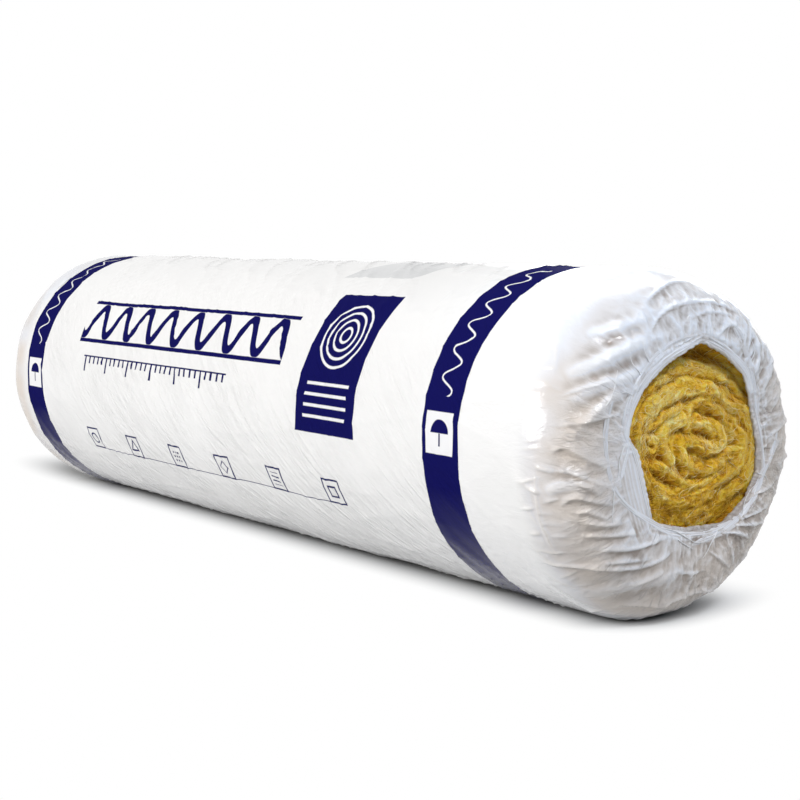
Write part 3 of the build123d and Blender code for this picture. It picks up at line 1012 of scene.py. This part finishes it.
def makeFibres(name):
    side, count, points, seed, reach, step, spread, curl, lift, thick, paler = fibres["kinds"][name]
    rng = np.random.default_rng(seed)
    endX = nearX if side > 0 else farX
    reach = reach * np.sqrt(rng.uniform(0, 1, count))
    around = rng.uniform(0, 2 * math.pi, count)
    y = reach * np.cos(around)
    z = reach * np.sin(around)
    wander = rng.normal(0, spread, count)
    curl = rng.normal(0, curl, count)
    step = step * rng.uniform(*fibres["steps"], count)
    lift = lift * rng.uniform(*fibres["lifts"], count) * rng.uniform(0, 1, count)
    flip = np.where(rng.uniform(0, 1, count) < 0.5, 0, math.pi)
    _, pale, heading = woolFace(y, z)
    start = heading + flip + wander
    tone = pale + rng.normal(paler, fibres["toneSpread"], count)
    lines = []
    for index in range(points):
        arch = math.sin(math.pi * index / (points - 1))
        depth = np.maximum(woolFace(y, z)[0] - lift * arch - fibres["off"], fibres["leastDepth"])
        lines.append(np.stack([endX - side * depth, side * y, rollRadius + z], -1))
        y = y + step * np.cos(start + curl * index)
        z = z + step * np.sin(start + curl * index)
    overrun = fibres["overrun"]
    taper = np.sin(math.pi * (np.arange(points) + overrun) / (points - 1 + 2 * overrun))
    taper = np.clip(taper, fibres["thinnest"], 1)
    thick = rng.uniform(*thick, count)[:, None, None] * taper[None, :, None]
    places, quads, caps = tubes(np.stack(lines, 1), thick, fibres["sides"])
    tone = np.repeat(np.clip(tone, 0, fibres["palest"]), points * fibres["sides"])
    return meshFromArrays(name, places, {"tone": tone}, quads, caps)


woolFibres = [makeFibres(name) for name in fibres["kinds"]]


# A value in a shader, so that its maths reads as plain sums
class Val:
    def __init__(self, sheet, socket):
        self.sheet = sheet
        self.socket = socket

    def other(self, name):
        return Val(self.sheet, self.socket.node.outputs[name])

    def sum(self, operation, *values):
        return self.sheet.add("ShaderNodeMath", {"operation": operation}, values)

    def __add__(self, value):
        return self.sum("ADD", self, value)

    __radd__ = __add__

    def __sub__(self, value):
        return self.sum("SUBTRACT", self, value)

    def __rsub__(self, value):
        return self.sum("SUBTRACT", value, self)

    def __mul__(self, value):
        return self.sum("MULTIPLY", self, value)

    __rmul__ = __mul__

    def __truediv__(self, value):
        return self.sum("DIVIDE", self, value)

    def __pow__(self, value):
        return self.sum("POWER", self, value)

    def __abs__(self):
        return self.sum("ABSOLUTE", self)

    def sine(self):
        return self.sum("SINE", self)

    def cosine(self):
        return self.sum("COSINE", self)

    def fraction(self):
        return self.sum("FRACT", self)

    def least(self, value):
        return self.sum("MINIMUM", self, value)

    def most(self, value):
        return self.sum("MAXIMUM", self, value)


# The nodes of one material or world
class NodeSheet:
    def __init__(self, tree):
        self.nodes = tree.nodes
        self.links = tree.links

    def add(self, kind, settings=None, values=None, output=0):
        node = self.nodes.new(kind)
        for setting, value in (settings or {}).items():
            if setting == "stops":
                ramp = node.color_ramp.elements
                while len(ramp) < len(value):
                    ramp.new(0.5)
                for element, (place, colour) in zip(ramp, value):
                    element.position = place
                    element.color = (*colour, 1)
            else:
                setattr(node, setting, value)
        pairs = values.items() if isinstance(values, dict) else enumerate(values or ())
        for socket, value in pairs:
            if isinstance(value, Val):
                self.links.new(value.socket, node.inputs[socket])
            else:
                node.inputs[socket].default_value = value
        return Val(self, node.outputs[output]) if node.outputs else node

    def blend(self, factor, first, second):
        return self.add("ShaderNodeMix", {"data_type": "RGBA"}, {0: factor, 6: first, 7: second}, 2)


# A material round one Principled shader
class Finish(NodeSheet):
    def __init__(self, name, **constants):
        self.material = bpy.data.materials.new(name)
        self.material.use_nodes = True
        super().__init__(self.material.node_tree)
        self.shader = self.nodes["Principled BSDF"]
        for socket, value in constants.items():
            self.shader.inputs[socket.replace("_", " ")].default_value = value

    def feed(self, socket, value):
        self.links.new(value.socket, self.shader.inputs[socket])

    def bump(self, height, strength, distance):
        values = {"Strength": strength, "Distance": distance, "Height": height}
        self.feed("Normal", self.add("ShaderNodeBump", {}, values))

    def mark(self, name):
        return self.add("ShaderNodeAttribute", {"attribute_name": name}, {}, "Fac")

    def place(self):
        return self.add("ShaderNodeTexCoord", {}, {}, "Object")


def noiseAt(fin, place, scale, detail=3.0, rough=0.55, warp=0.0):
    values = {"Vector": place, "Scale": scale, "Detail": detail, "Roughness": rough, "Distortion": warp}
    return fin.add("ShaderNodeTexNoise", {}, values)


def stretched(fin, place, scale):
    return fin.add("ShaderNodeVectorMath", {"operation": "MULTIPLY"}, [place, scale])


def clamp01(value):
    return value.least(1.0).most(0.0)


# Patches of 1 in a surface of 0
def patches(fin, place, scale, gain, level):
    return clamp01(noiseAt(fin, place, scale, detail=1.0) * gain - level)


softEdge = 0.0008   # width over which a printed edge fades


# 1 inside a stretch of values and 0 outside
def within(value, low, high):
    return clamp01(((high - low) / 2 - abs(value - (low + high) / 2)) / softEdge + 0.5)


def block(u, v, left, right, top, bottom):
    return within(u, left, right) * within(v, top, bottom)


def square(u, v, half):
    return block(u, v, -half, half, -half, half)


def fromMiddle(u, v):
    return (u * u + v * v) ** 0.5


# A line along the places that lie one size away
def outline(distance, size, half):
    return within(distance, size - half, size + half)


# Rows of dots, with one at the middle
def dots(u, v, pitch, radius):
    offU, offV = (((value / pitch + 0.5).fraction() - 0.5) * pitch for value in (u, v))
    return within(fromMiddle(offU, offV), -radius, radius)


# A wavy line along u, about v = 0
def waveLine(u, v, length, swing, half):
    phase = u * (2 * math.pi / length)
    slope = phase.cosine() * (swing * 2 * math.pi / length)
    gap = abs(v - phase.sine() * swing) / (slope * slope + 1) ** 0.5
    return clamp01((half - gap) / softEdge + 0.5)


# Prints on the film. Places are along the roll and, as "down", round it from the top towards the camera.
prints = {
    "ink": (0.007, 0.007, 0.092, 1),
    "white": (0.86, 0.86, 0.87, 1),
    "grey": (0.60, 0.61, 0.62, 1),
    "bands": [(-0.5316, -0.4790), (0.4161, 0.4720)],
    "badges": [(-0.5053, 0.2640), (0.4425, 0.2585)],   # middle of the white square on each band
    "badgeHalf": 0.0210,
    "shelter": {"radius": 0.0135, "stem": 0.0012, "foot": 0.0130},
    "bandWave": {"from": 0.037, "to": 0.222, "length": 0.030, "swing": 0.0100, "half": 0.0010},
    "panel": (0.187, 0.299, 0.111, 0.280),
    "panelRings": {"down": 0.168, "radii": [0.009, 0.019, 0.029, 0.039], "half": 0.0016},
    "panelRules": {"downs": [0.226, 0.238, 0.250, 0.262], "reach": 0.040, "half": 0.0017},
    "topBlock": {"from": 0.182, "to": 0.312, "top": 0.010, "bottom": 0.076, "shear": 0.55, "share": 0.80},
    "hatch": {"from": -0.377, "to": 0.140, "top": 0.148, "bottom": 0.211, "rule": 0.0055, "length": 0.0646,
              "half": 0.0056},
    "scale": {"from": -0.353, "to": 0.030, "top": 0.229, "bottom": 0.251, "short": 0.240, "pitch": 0.01276,
              "tick": 0.0020, "rule": 0.0020, "group": 5},
    "frames": {"first": -0.343, "pitch": 0.116, "down": 0.347, "half": 0.0150, "line": 0.0012,
               "thread": 0.0006},
    "signs": {"ring": 0.0075, "triangle": 0.0048, "diamond": 0.0085, "square": 0.0065, "pitch": 0.0060,
              "dot": 0.0017, "ruleShare": 0.16, "reach": 0.0090},
}


# The dark bands round the roll, each with a wavy line: the ink, and what stays white in it
def bandPrint(x, down):
    wave = prints["bandWave"]
    ink = x * 0.0
    clear = x * 0.0
    for low, high in prints["bands"]:
        ink = ink.most(within(x, low, high))
        line = waveLine(down, x - (low + high) / 2, wave["length"], wave["swing"], wave["half"])
        clear = clear.most(line * within(down, wave["from"], wave["to"]))
    return ink, clear


# The dark panel with its rings and rules
def panelPrint(x, down):
    left, right, top, bottom = prints["panel"]
    rings, rules = prints["panelRings"], prints["panelRules"]
    u = x - (left + right) / 2
    clear = x * 0.0
    for radius in rings["radii"]:
        clear = clear.most(outline(fromMiddle(u, down - rings["down"]), radius, rings["half"]))
    for level in rules["downs"]:
        rule = block(u, down - level, -rules["reach"], rules["reach"], -rules["half"], rules["half"])
        clear = clear.most(rule)
    return block(x, down, left, right, top, bottom), clear


# A white square on each band, with the sign for a thing to be kept dry
def badgePrint(x, down, clear):
    shelter = prints["shelter"]
    half = prints["badgeHalf"]
    for place, level in prints["badges"]:
        u = x - place
        v = down - level
        badge = square(u, v, half)
        roof = within(fromMiddle(u, v), -shelter["radius"], shelter["radius"]) * within(v, -half, 0.0)
        sign = roof.most(block(u, v, -shelter["stem"], shelter["stem"], 0.0, shelter["foot"]))
        clear = clear * (1 - badge) + badge * (1 - sign)
    return clear


# A wave between two rules, as insulation is drawn in section
def hatchPrint(x, down):
    hatch = prints["hatch"]
    tall = (hatch["bottom"] - hatch["top"]) / 2
    v = down - (hatch["bottom"] + hatch["top"]) / 2
    wave = waveLine(x, v, hatch["length"], tall - hatch["rule"] - hatch["half"], hatch["half"])
    rules = within(abs(v), tall - hatch["rule"], tall)
    return wave.most(rules) * block(x, v, hatch["from"], hatch["to"], -tall, tall)


# A ruler's scale, with a longer tick at the start of each group
def scalePrint(x, down):
    scale = prints["scale"]
    pitch, group, top = scale["pitch"], scale["group"], scale["top"]
    steps = (x - scale["from"]) / pitch
    ticks = within((steps.fraction() - 0.5) * pitch, -scale["tick"], scale["tick"])
    starts = within(((steps / group).fraction() - 0.5 / group) * (group * pitch), -pitch / 2, pitch / 2)
    tall = within(down, top, scale["short"]).most(starts * within(down, top, scale["bottom"]))
    rule = within(down, top, top + scale["rule"])
    return (ticks * tall).most(rule) * within(x, scale["from"], scale["to"])


# Plain shapes for the small frames, each about its own middle
def frameSigns():
    signs = prints["signs"]
    half = prints["frames"]["line"]
    pitch, share, reach = signs["pitch"], signs["ruleShare"], signs["reach"]
    lean = math.sin(math.pi / 3)
    return [
        lambda u, v: outline(fromMiddle(u, v), signs["ring"], half),
        lambda u, v: outline(v.most(abs(u) * lean - v * 0.5), signs["triangle"], half),
        lambda u, v: dots(u, v, pitch, signs["dot"]) * square(u, v, reach),
        lambda u, v: outline(abs(u) + abs(v), signs["diamond"], half),
        lambda u, v: within((v / pitch).fraction() - 0.5, -share, share) * square(u, v, reach),
        lambda u, v: outline(abs(u).most(abs(v)), signs["square"], half),
    ]


# A row of outlined frames on a thread, added to the ink so far
def framePrint(x, down, ink):
    frames = prints["frames"]
    half, thread = frames["half"], frames["thread"]
    signs = frameSigns()
    v = down - frames["down"]
    last = frames["first"] + frames["pitch"] * (len(signs) - 1)
    ink = ink.most(block(x, v, frames["first"] + half, last - half, half - thread, half + thread))
    for index, sign in enumerate(signs):
        u = x - (frames["first"] + frames["pitch"] * index)
        inside = square(u, v, half)
        edge = outline(abs(u).most(abs(v)), half, frames["line"])
        ink = ink * (1 - inside) + edge.most(sign(u, v) * inside)
    return ink


# Colour of the printed film, and where it carries ink
def printedColour(fin, x, down, white):
    bands, bandClear = bandPrint(x, down)
    panel, panelClear = panelPrint(x, down)
    clear = badgePrint(x, down, bandClear.most(panelClear))
    ink = bands.most(panel).most(hatchPrint(x, down)).most(scalePrint(x, down))
    ink = framePrint(x, down, ink)
    top = prints["topBlock"]
    grey = block(x + down * top["shear"], down, top["from"], top["to"], top["top"], top["bottom"])
    colour = fin.blend(grey * top["share"], white, prints["grey"])
    colour = fin.blend(ink, colour, prints["ink"])
    return fin.blend(clear * ink.most(clear), colour, prints["white"]), ink * (1 - clear)


film = {
    "tones": [
        # from the painted shade at the bottom of a fold, over the thin drawn film of the ends and the bluish
        # painted highlight of its crests, to the plain sleeve
        (0.0, (0.34, 0.290, 0.255)), (0.5, (0.69, 0.675, 0.678)), (0.8, (0.775, 0.802, 0.860)),
        (1.0, (0.868, 0.866, 0.862)),
    ],
    "white": (0.868, 0.866, 0.862, 1),
    "shade": (0.835, 0.832, 0.828, 1),
    "warm": (0.71, 0.635, 0.565, 1),   # painted warm bounce light on the shoulder
    "paintedBounceShare": 0.90,
    "inkDull": 0.97,                  # share of the film's gloss that the ink takes away
    "dullFrom": (0.030, 0.130),       # height over the floor across which it does so
    "cloudScale": 9.0,                # duller patches to a metre, and how much they change the ends' tone
    "clouds": 0.12,
    "streakScale": (85.0, 8.0),       # slanting wrinkles to a metre, across and along them
    "streaksFrom": 0.10,              # distance down from the top where they begin
    "streakGain": 7.0,                # how fast they grow from there
    "streakPatches": (7.0, 4.0, 1.2),   # where they lie: patches to a metre, contrast and level
    "streaks": 17.0,
    "line": (0.34, 0.30, 0.285, 1),   # painted shade in the sharp creases of the ends
    "paintedCreaseShadeShare": 0.52,
    "lineScale": (42.0, 13.0, 1.0),   # lines to a metre round the roll, and along the film's run
    "lineSharp": 26.0,
    "lineDepth": 0.7,
    "linePatches": (28.0, 5.0, 2.2),
    "wrinkleScale": (90.0, 46.0, 1.0),
    "wrinkles": 3.0,                  # height of the fine wrinkles, against the film's own unevenness
    "facets": [(62.0, 3.4), (150.0, 1.1)],   # cells to a metre, and rise
    "calmFacets": 0.45,               # share of the facets where the film is pulled straight
    "facetTurn": (0.6, 0.4, 0.9),
    "facetWarp": 0.010,
    "crinkleScale": (30.0, 75.0, 75.0),   # of the film's own unevenness
    "grainScale": 320.0,
    "grain": 0.12,
    "rough": (0.13, 0.26),
    "roughScale": 40.0,
    "bumpDistance": 0.0012,
    "bumps": {"printed": 0.50, "drawn": 0.75},
}


def filmRoughness(fin, place):
    low, high = film["rough"]
    fin.feed("Roughness", low + noiseAt(fin, place, film["roughScale"]) * (high - low))


# Height of the slight unevenness that all of the film has
def filmGrain(fin, place):
    crinkle = noiseAt(fin, stretched(fin, place, film["crinkleScale"]), 1.0, detail=4.0, rough=0.6, warp=0.6)
    return crinkle + noiseAt(fin, place, film["grainScale"], detail=2.0) * film["grain"]


# Places along x and, as "down", round the roll from its top towards the camera
def rollPlaces(fin):
    place = fin.place()
    x = fin.add("ShaderNodeSeparateXYZ", {}, [place])
    down = fin.add("ShaderNodeMath", {"operation": "ARCTAN2"}, [0 - x.other("Y"), x.other("Z") - rollRadius])
    return place, x, down * rollRadius


def makePrintedFinish():
    fin = Finish("film_printed", Specular_IOR_Level=0.0, Coat_IOR=1.3, Coat_Roughness=0.2)
    place, x, down = rollPlaces(fin)
    white = fin.blend(noiseAt(fin, place, film["cloudScale"], detail=2.0), film["white"], film["shade"])
    colour, ink = printedColour(fin, x, down, white)
    fin.feed("Base Color", colour)
    low, high = film["dullFrom"]
    dull = clamp01((x.other("Z") - low) / (high - low)) * film["inkDull"]
    fin.feed("Coat Weight", 1 - ink * dull)
    filmRoughness(fin, place)
    across, along = film["streakScale"]
    slanted = fin.add("ShaderNodeCombineXYZ", {}, [(x - down) * across, (x + down) * along, 0.0])
    streaks = abs(noiseAt(fin, slanted, 1.0, rough=0.6, warp=0.5) - 0.5) * film["streaks"]
    streaks = streaks * clamp01((down - film["streaksFrom"]) * film["streakGain"])
    streaks = streaks * patches(fin, place, *film["streakPatches"])
    fin.bump(filmGrain(fin, place) + streaks, film["bumps"]["printed"], film["bumpDistance"])
    return fin.material


# Small flat facets that meet in sharp edges
def crushedFacets(fin, place, scale):
    warp = noiseAt(fin, place, scale / 2, 1.0).other("Color")
    shift = stretched(fin, warp, (film["facetWarp"],) * 3)
    moved = fin.add("ShaderNodeVectorMath", {"operation": "ADD"}, [place, shift])
    turned = fin.add("ShaderNodeMapping", {}, {"Vector": moved, "Rotation": film["facetTurn"]})
    return fin.add("ShaderNodeTexVoronoi", {"distance": "CHEBYCHEV"}, {"Vector": turned, "Scale": scale})


# The plain drawn film of the two ends, with its painted shade, highlights and warm bounce light
def makeDrawnFinish():
    fin = Finish("film_drawn", IOR=1.45)
    place, _, down = rollPlaces(fin)
    tone, warm, run, drawn, crumple = (fin.mark(name) for name in ("tone", "warm", "run", "drawn", "crumple"))
    cloud = (noiseAt(fin, place, film["cloudScale"], detail=2.0) - 0.5) * film["clouds"]
    white = fin.add("ShaderNodeValToRGB", {"stops": film["tones"]}, [tone + cloud])
    # Painted warm bounce light on the shoulder
    white = fin.blend(warm * film["paintedBounceShare"], white, film["warm"])
    sheetPlace = fin.add("ShaderNodeCombineXYZ", {}, [down, run, 0.0])
    # Thin dark lines along the run: painted shade in creases, also cut into the bump
    lines = noiseAt(fin, stretched(fin, sheetPlace, film["lineScale"]), 1.0, detail=2.0, rough=0.5, warp=0.9)
    lines = clamp01(1 - abs(lines - 0.5) * film["lineSharp"])
    lines = lines * patches(fin, place, *film["linePatches"]) * drawn
    fin.feed("Base Color", fin.blend(lines * film["paintedCreaseShadeShare"], white, film["line"]))
    filmRoughness(fin, place)
    wrinkles = noiseAt(fin, stretched(fin, sheetPlace, film["wrinkleScale"]), 1.0, rough=0.6, warp=0.7)
    height = filmGrain(fin, place) - lines * film["lineDepth"]
    height = height + abs(wrinkles - 0.5) * drawn * film["wrinkles"]
    spread = drawn * film["calmFacets"] + crumple * (1 - film["calmFacets"])
    for scale, rise in film["facets"]:
        height = height + crushedFacets(fin, place, scale) * spread * rise
    fin.bump(height, film["bumps"]["drawn"], film["bumpDistance"])
    return fin.material


# Glass wool: colours from its deep gaps, darkened partly as painted shade, to its palest fluff, and its tufts
# and hairs
woolLook = {
    "mat": [
        (0.0, (0.42, 0.190, 0.005)), (0.25, (0.72, 0.415, 0.012)), (0.52, (0.86, 0.590, 0.055)),
        (0.80, (0.89, 0.695, 0.150)), (1.0, (0.92, 0.820, 0.390)),
    ],
    "fibre": [
        (0.0, (0.44, 0.190, 0.005)), (0.28, (0.82, 0.480, 0.014)), (0.55, (0.95, 0.680, 0.070)),
        (1.0, (0.97, 0.900, 0.520)),
    ],
    "tone": (0.95, 0.08),      # share of the mesh's own tone, and what is added to it
    "tuftScale": 190.0,        # tufts to a metre, and how much they change the tone
    "tufts": 0.40,
    "hairScale": 620.0,
    "hairs": 0.20,
    "hairRise": 0.5,           # height of the hairs, against the tufts
    "bump": (0.40, 0.0010),
}


def makeWoolFinish():
    fin = Finish(
        "glass_wool", Roughness=0.85, Specular_IOR_Level=0.25, Subsurface_Weight=0.35, Subsurface_Scale=0.004
    )
    place = fin.place()
    share, start = woolLook["tone"]
    tufts = noiseAt(fin, place, woolLook["tuftScale"], detail=5.0, rough=0.65, warp=1.2)
    hairs = noiseAt(fin, place, woolLook["hairScale"], rough=0.6, warp=2.5)
    level = fin.mark("tone") * share + (tufts - 0.5) * woolLook["tufts"] + (hairs - 0.5) * woolLook["hairs"]
    level = clamp01(level + start)
    fin.feed("Base Color", fin.add("ShaderNodeValToRGB", {"stops": woolLook["mat"]}, [level]))
    fin.bump(hairs * woolLook["hairRise"] + tufts, *woolLook["bump"])
    return fin.material


def makeFibreFinish():
    fin = Finish("glass_fibre", Roughness=0.5, Specular_IOR_Level=0.4)
    level = clamp01(fin.mark("tone"))
    fin.feed("Base Color", fin.add("ShaderNodeValToRGB", {"stops": woolLook["fibre"]}, [level]))
    return fin.material


filmBarrel.data.materials.append(makePrintedFinish())
drawnFinish = makeDrawnFinish()
for piece in (filmNear, filmFar, filmStrands):
    piece.data.materials.append(drawnFinish)
for piece in (filmBarrel, filmNear, filmFar, filmStrands):
    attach(piece, "root")
for piece in (filmBarrel, filmNear, filmFar):
    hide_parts("film_wrap")
woolMat.data.materials.append(makeWoolFinish())
fibreFinish = makeFibreFinish()
for piece in woolFibres:
    piece.data.materials.append(fibreFinish)
for piece in (woolMat, *woolFibres):
    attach(piece, "root")
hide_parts("wool_roll")
print("finishes on")


# Stage: pale floor with a painted contact shadow along the roll, white behind it, and soft lamps
stage = {
    "floorSize": 40.0,
    "floorColour": (0.54, 0.55, 0.56, 1),
    # Colour of the painted contact shadow where the roll meets the floor
    "paintedShadowColour": (0.24, 0.24, 0.24, 1),
    "paintedShadowReach": (0.020, 0.080),   # distance from the roll's line of contact across which the painted shadow fades into the floor colour
    "white": (0.035, 0.105),     # distance across which it fades into the white of the background
    "shadowX": (-0.62, 0.535),   # stretch along x where the floor keeps the whole shadow
    "farStretch": 0.35,          # how fast the distance grows past the far end, past the near end and behind
    "nearStretch": 1.25,
    "behindStretch": 0.5,
    "worldLight": 0.11,
    "lamps": [
        # name, place, aim, power, colour, size
        ("key", (0.0, -2.9, 1.20), (0.0, 0.0, 0.15), 75.0, (1.0, 0.99, 0.98), 1.0),
        ("overhead", (-0.5, 0.8, 2.7), (-0.1, 0.0, 0.2), 40.0, (1.0, 1.0, 1.0), 1.8),
        ("backFill", (-1.6, 2.6, 1.0), (0.0, 0.0, 0.2), 22.0, (1.0, 1.0, 1.0), 1.6),
        ("glint", (2.0, 1.5, 0.85), (0.61, 0.0, 0.17), 4.0, (0.80, 0.88, 1.0), 0.40),
    ],
    "spots": [
        # name, place, aim, power, colour, size, cone in degrees
        ("endSpot", (1.55, -0.22, 1.22), (0.61, 0.0, 0.155), 81.0, (0.92, 0.945, 1.0), 0.20, 22.0),
        ("topSpot", (1.7, 0.50, 1.20), (0.60, 0.010, 0.305), 42.0, (0.42, 0.68, 1.0), 0.15, 8.0),
    ],
}


# 1 for what is seen straight, in a gloss or through glass
def seenRays(sheet):
    ray = sheet.add("ShaderNodeLightPath", {}, {}, "Is Camera Ray")
    return ray.most(ray.other("Is Glossy Ray")).most(ray.other("Is Transmission Ray"))


def makeFloorFinish():
    fin = Finish("floor_white", Roughness=0.9, Specular_IOR_Level=0.2)
    x = fin.add("ShaderNodeSeparateXYZ", {}, [fin.place()])
    y = x.other("Y")
    far, near = stage["shadowX"]
    past = (x - near).most(0.0) * stage["nearStretch"] + (far - x).most(0.0) * stage["farStretch"]
    aside = (y * stage["behindStretch"]).most(0 - y)
    away = (past * past + aside * aside) ** 0.5
    paler, white = (
        fin.add("ShaderNodeMapRange", {"interpolation_type": "SMOOTHSTEP"}, [away, *stage[name]])
        for name in ("paintedShadowReach", "white")
    )
    # Painted contact shadow, fading into the floor colour away from the roll
    fin.feed("Base Color", fin.blend(paler, stage["paintedShadowColour"], stage["floorColour"]))
    glow = fin.add("ShaderNodeEmission", {}, {"Color": (1, 1, 1, 1), "Strength": 1.0})
    mixed = fin.add("ShaderNodeMixShader", {}, [white * seenRays(fin), Val(fin, fin.shader.outputs[0]), glow])
    fin.links.new(mixed.socket, fin.nodes["Material Output"].inputs["Surface"])
    return fin.material


# White where it is seen or mirrored, and a weak even light on everything else
def makeWorld():
    world = bpy.data.worlds.new("studio")
    world.use_nodes = True
    world.node_tree.nodes.clear()
    sheet = NodeSheet(world.node_tree)
    light, white = (
        sheet.add("ShaderNodeBackground", {}, {"Color": (1, 1, 1, 1), "Strength": strength})
        for strength in (stage["worldLight"], 1.0)
    )
    mixed = sheet.add("ShaderNodeMixShader", {}, [seenRays(sheet), light, white])
    sheet.add("ShaderNodeOutputWorld", {}, [mixed])
    bpy.context.scene.world = world


def aimed(name, data, place, forward):
    holder = bpy.data.objects.new(name, data)
    holder.location = place
    holder.rotation_euler = forward.to_track_quat("-Z", "Y").to_euler()
    bpy.context.scene.collection.objects.link(holder)
    return holder


def addLamp(name, kind, place, aim, power, colour):
    lamp = bpy.data.lights.new(name, kind)
    lamp.energy = power
    lamp.color = colour
    aimed(name, lamp, place, Vector(aim) - Vector(place))
    return lamp


def makeStage():
    bpy.ops.mesh.primitive_plane_add(size=stage["floorSize"], location=(0, 0, 0))
    floor = bpy.context.object
    floor.name = "floor"
    floor.data.materials.append(makeFloorFinish())
    for name, *basics, size in stage["lamps"]:
        addLamp(name, "AREA", *basics).size = size
    for name, *basics, size, cone in stage["spots"]:
        spot = addLamp(name, "SPOT", *basics)
        spot.shadow_soft_size = size
        spot.spot_size = math.radians(cone)
        spot.spot_blend = 1.0
    print("stage set")


camera = {
    "place": (1.6414, -1.1159, 0.3762),
    "forward": (-0.79654, 0.59566, -0.10351),
    "lens": 71.055,
    "sensor": 36.0,
}


def makeCamera():
    data = bpy.data.cameras.new("camera")
    data.lens = camera["lens"]
    data.sensor_width = camera["sensor"]
    bpy.context.scene.camera = aimed("camera", data, camera["place"], Vector(camera["forward"]))
    print("camera set")


makeWorld()
makeStage()
makeCamera()
bpy.context.scene.view_settings.view_transform = "Standard"
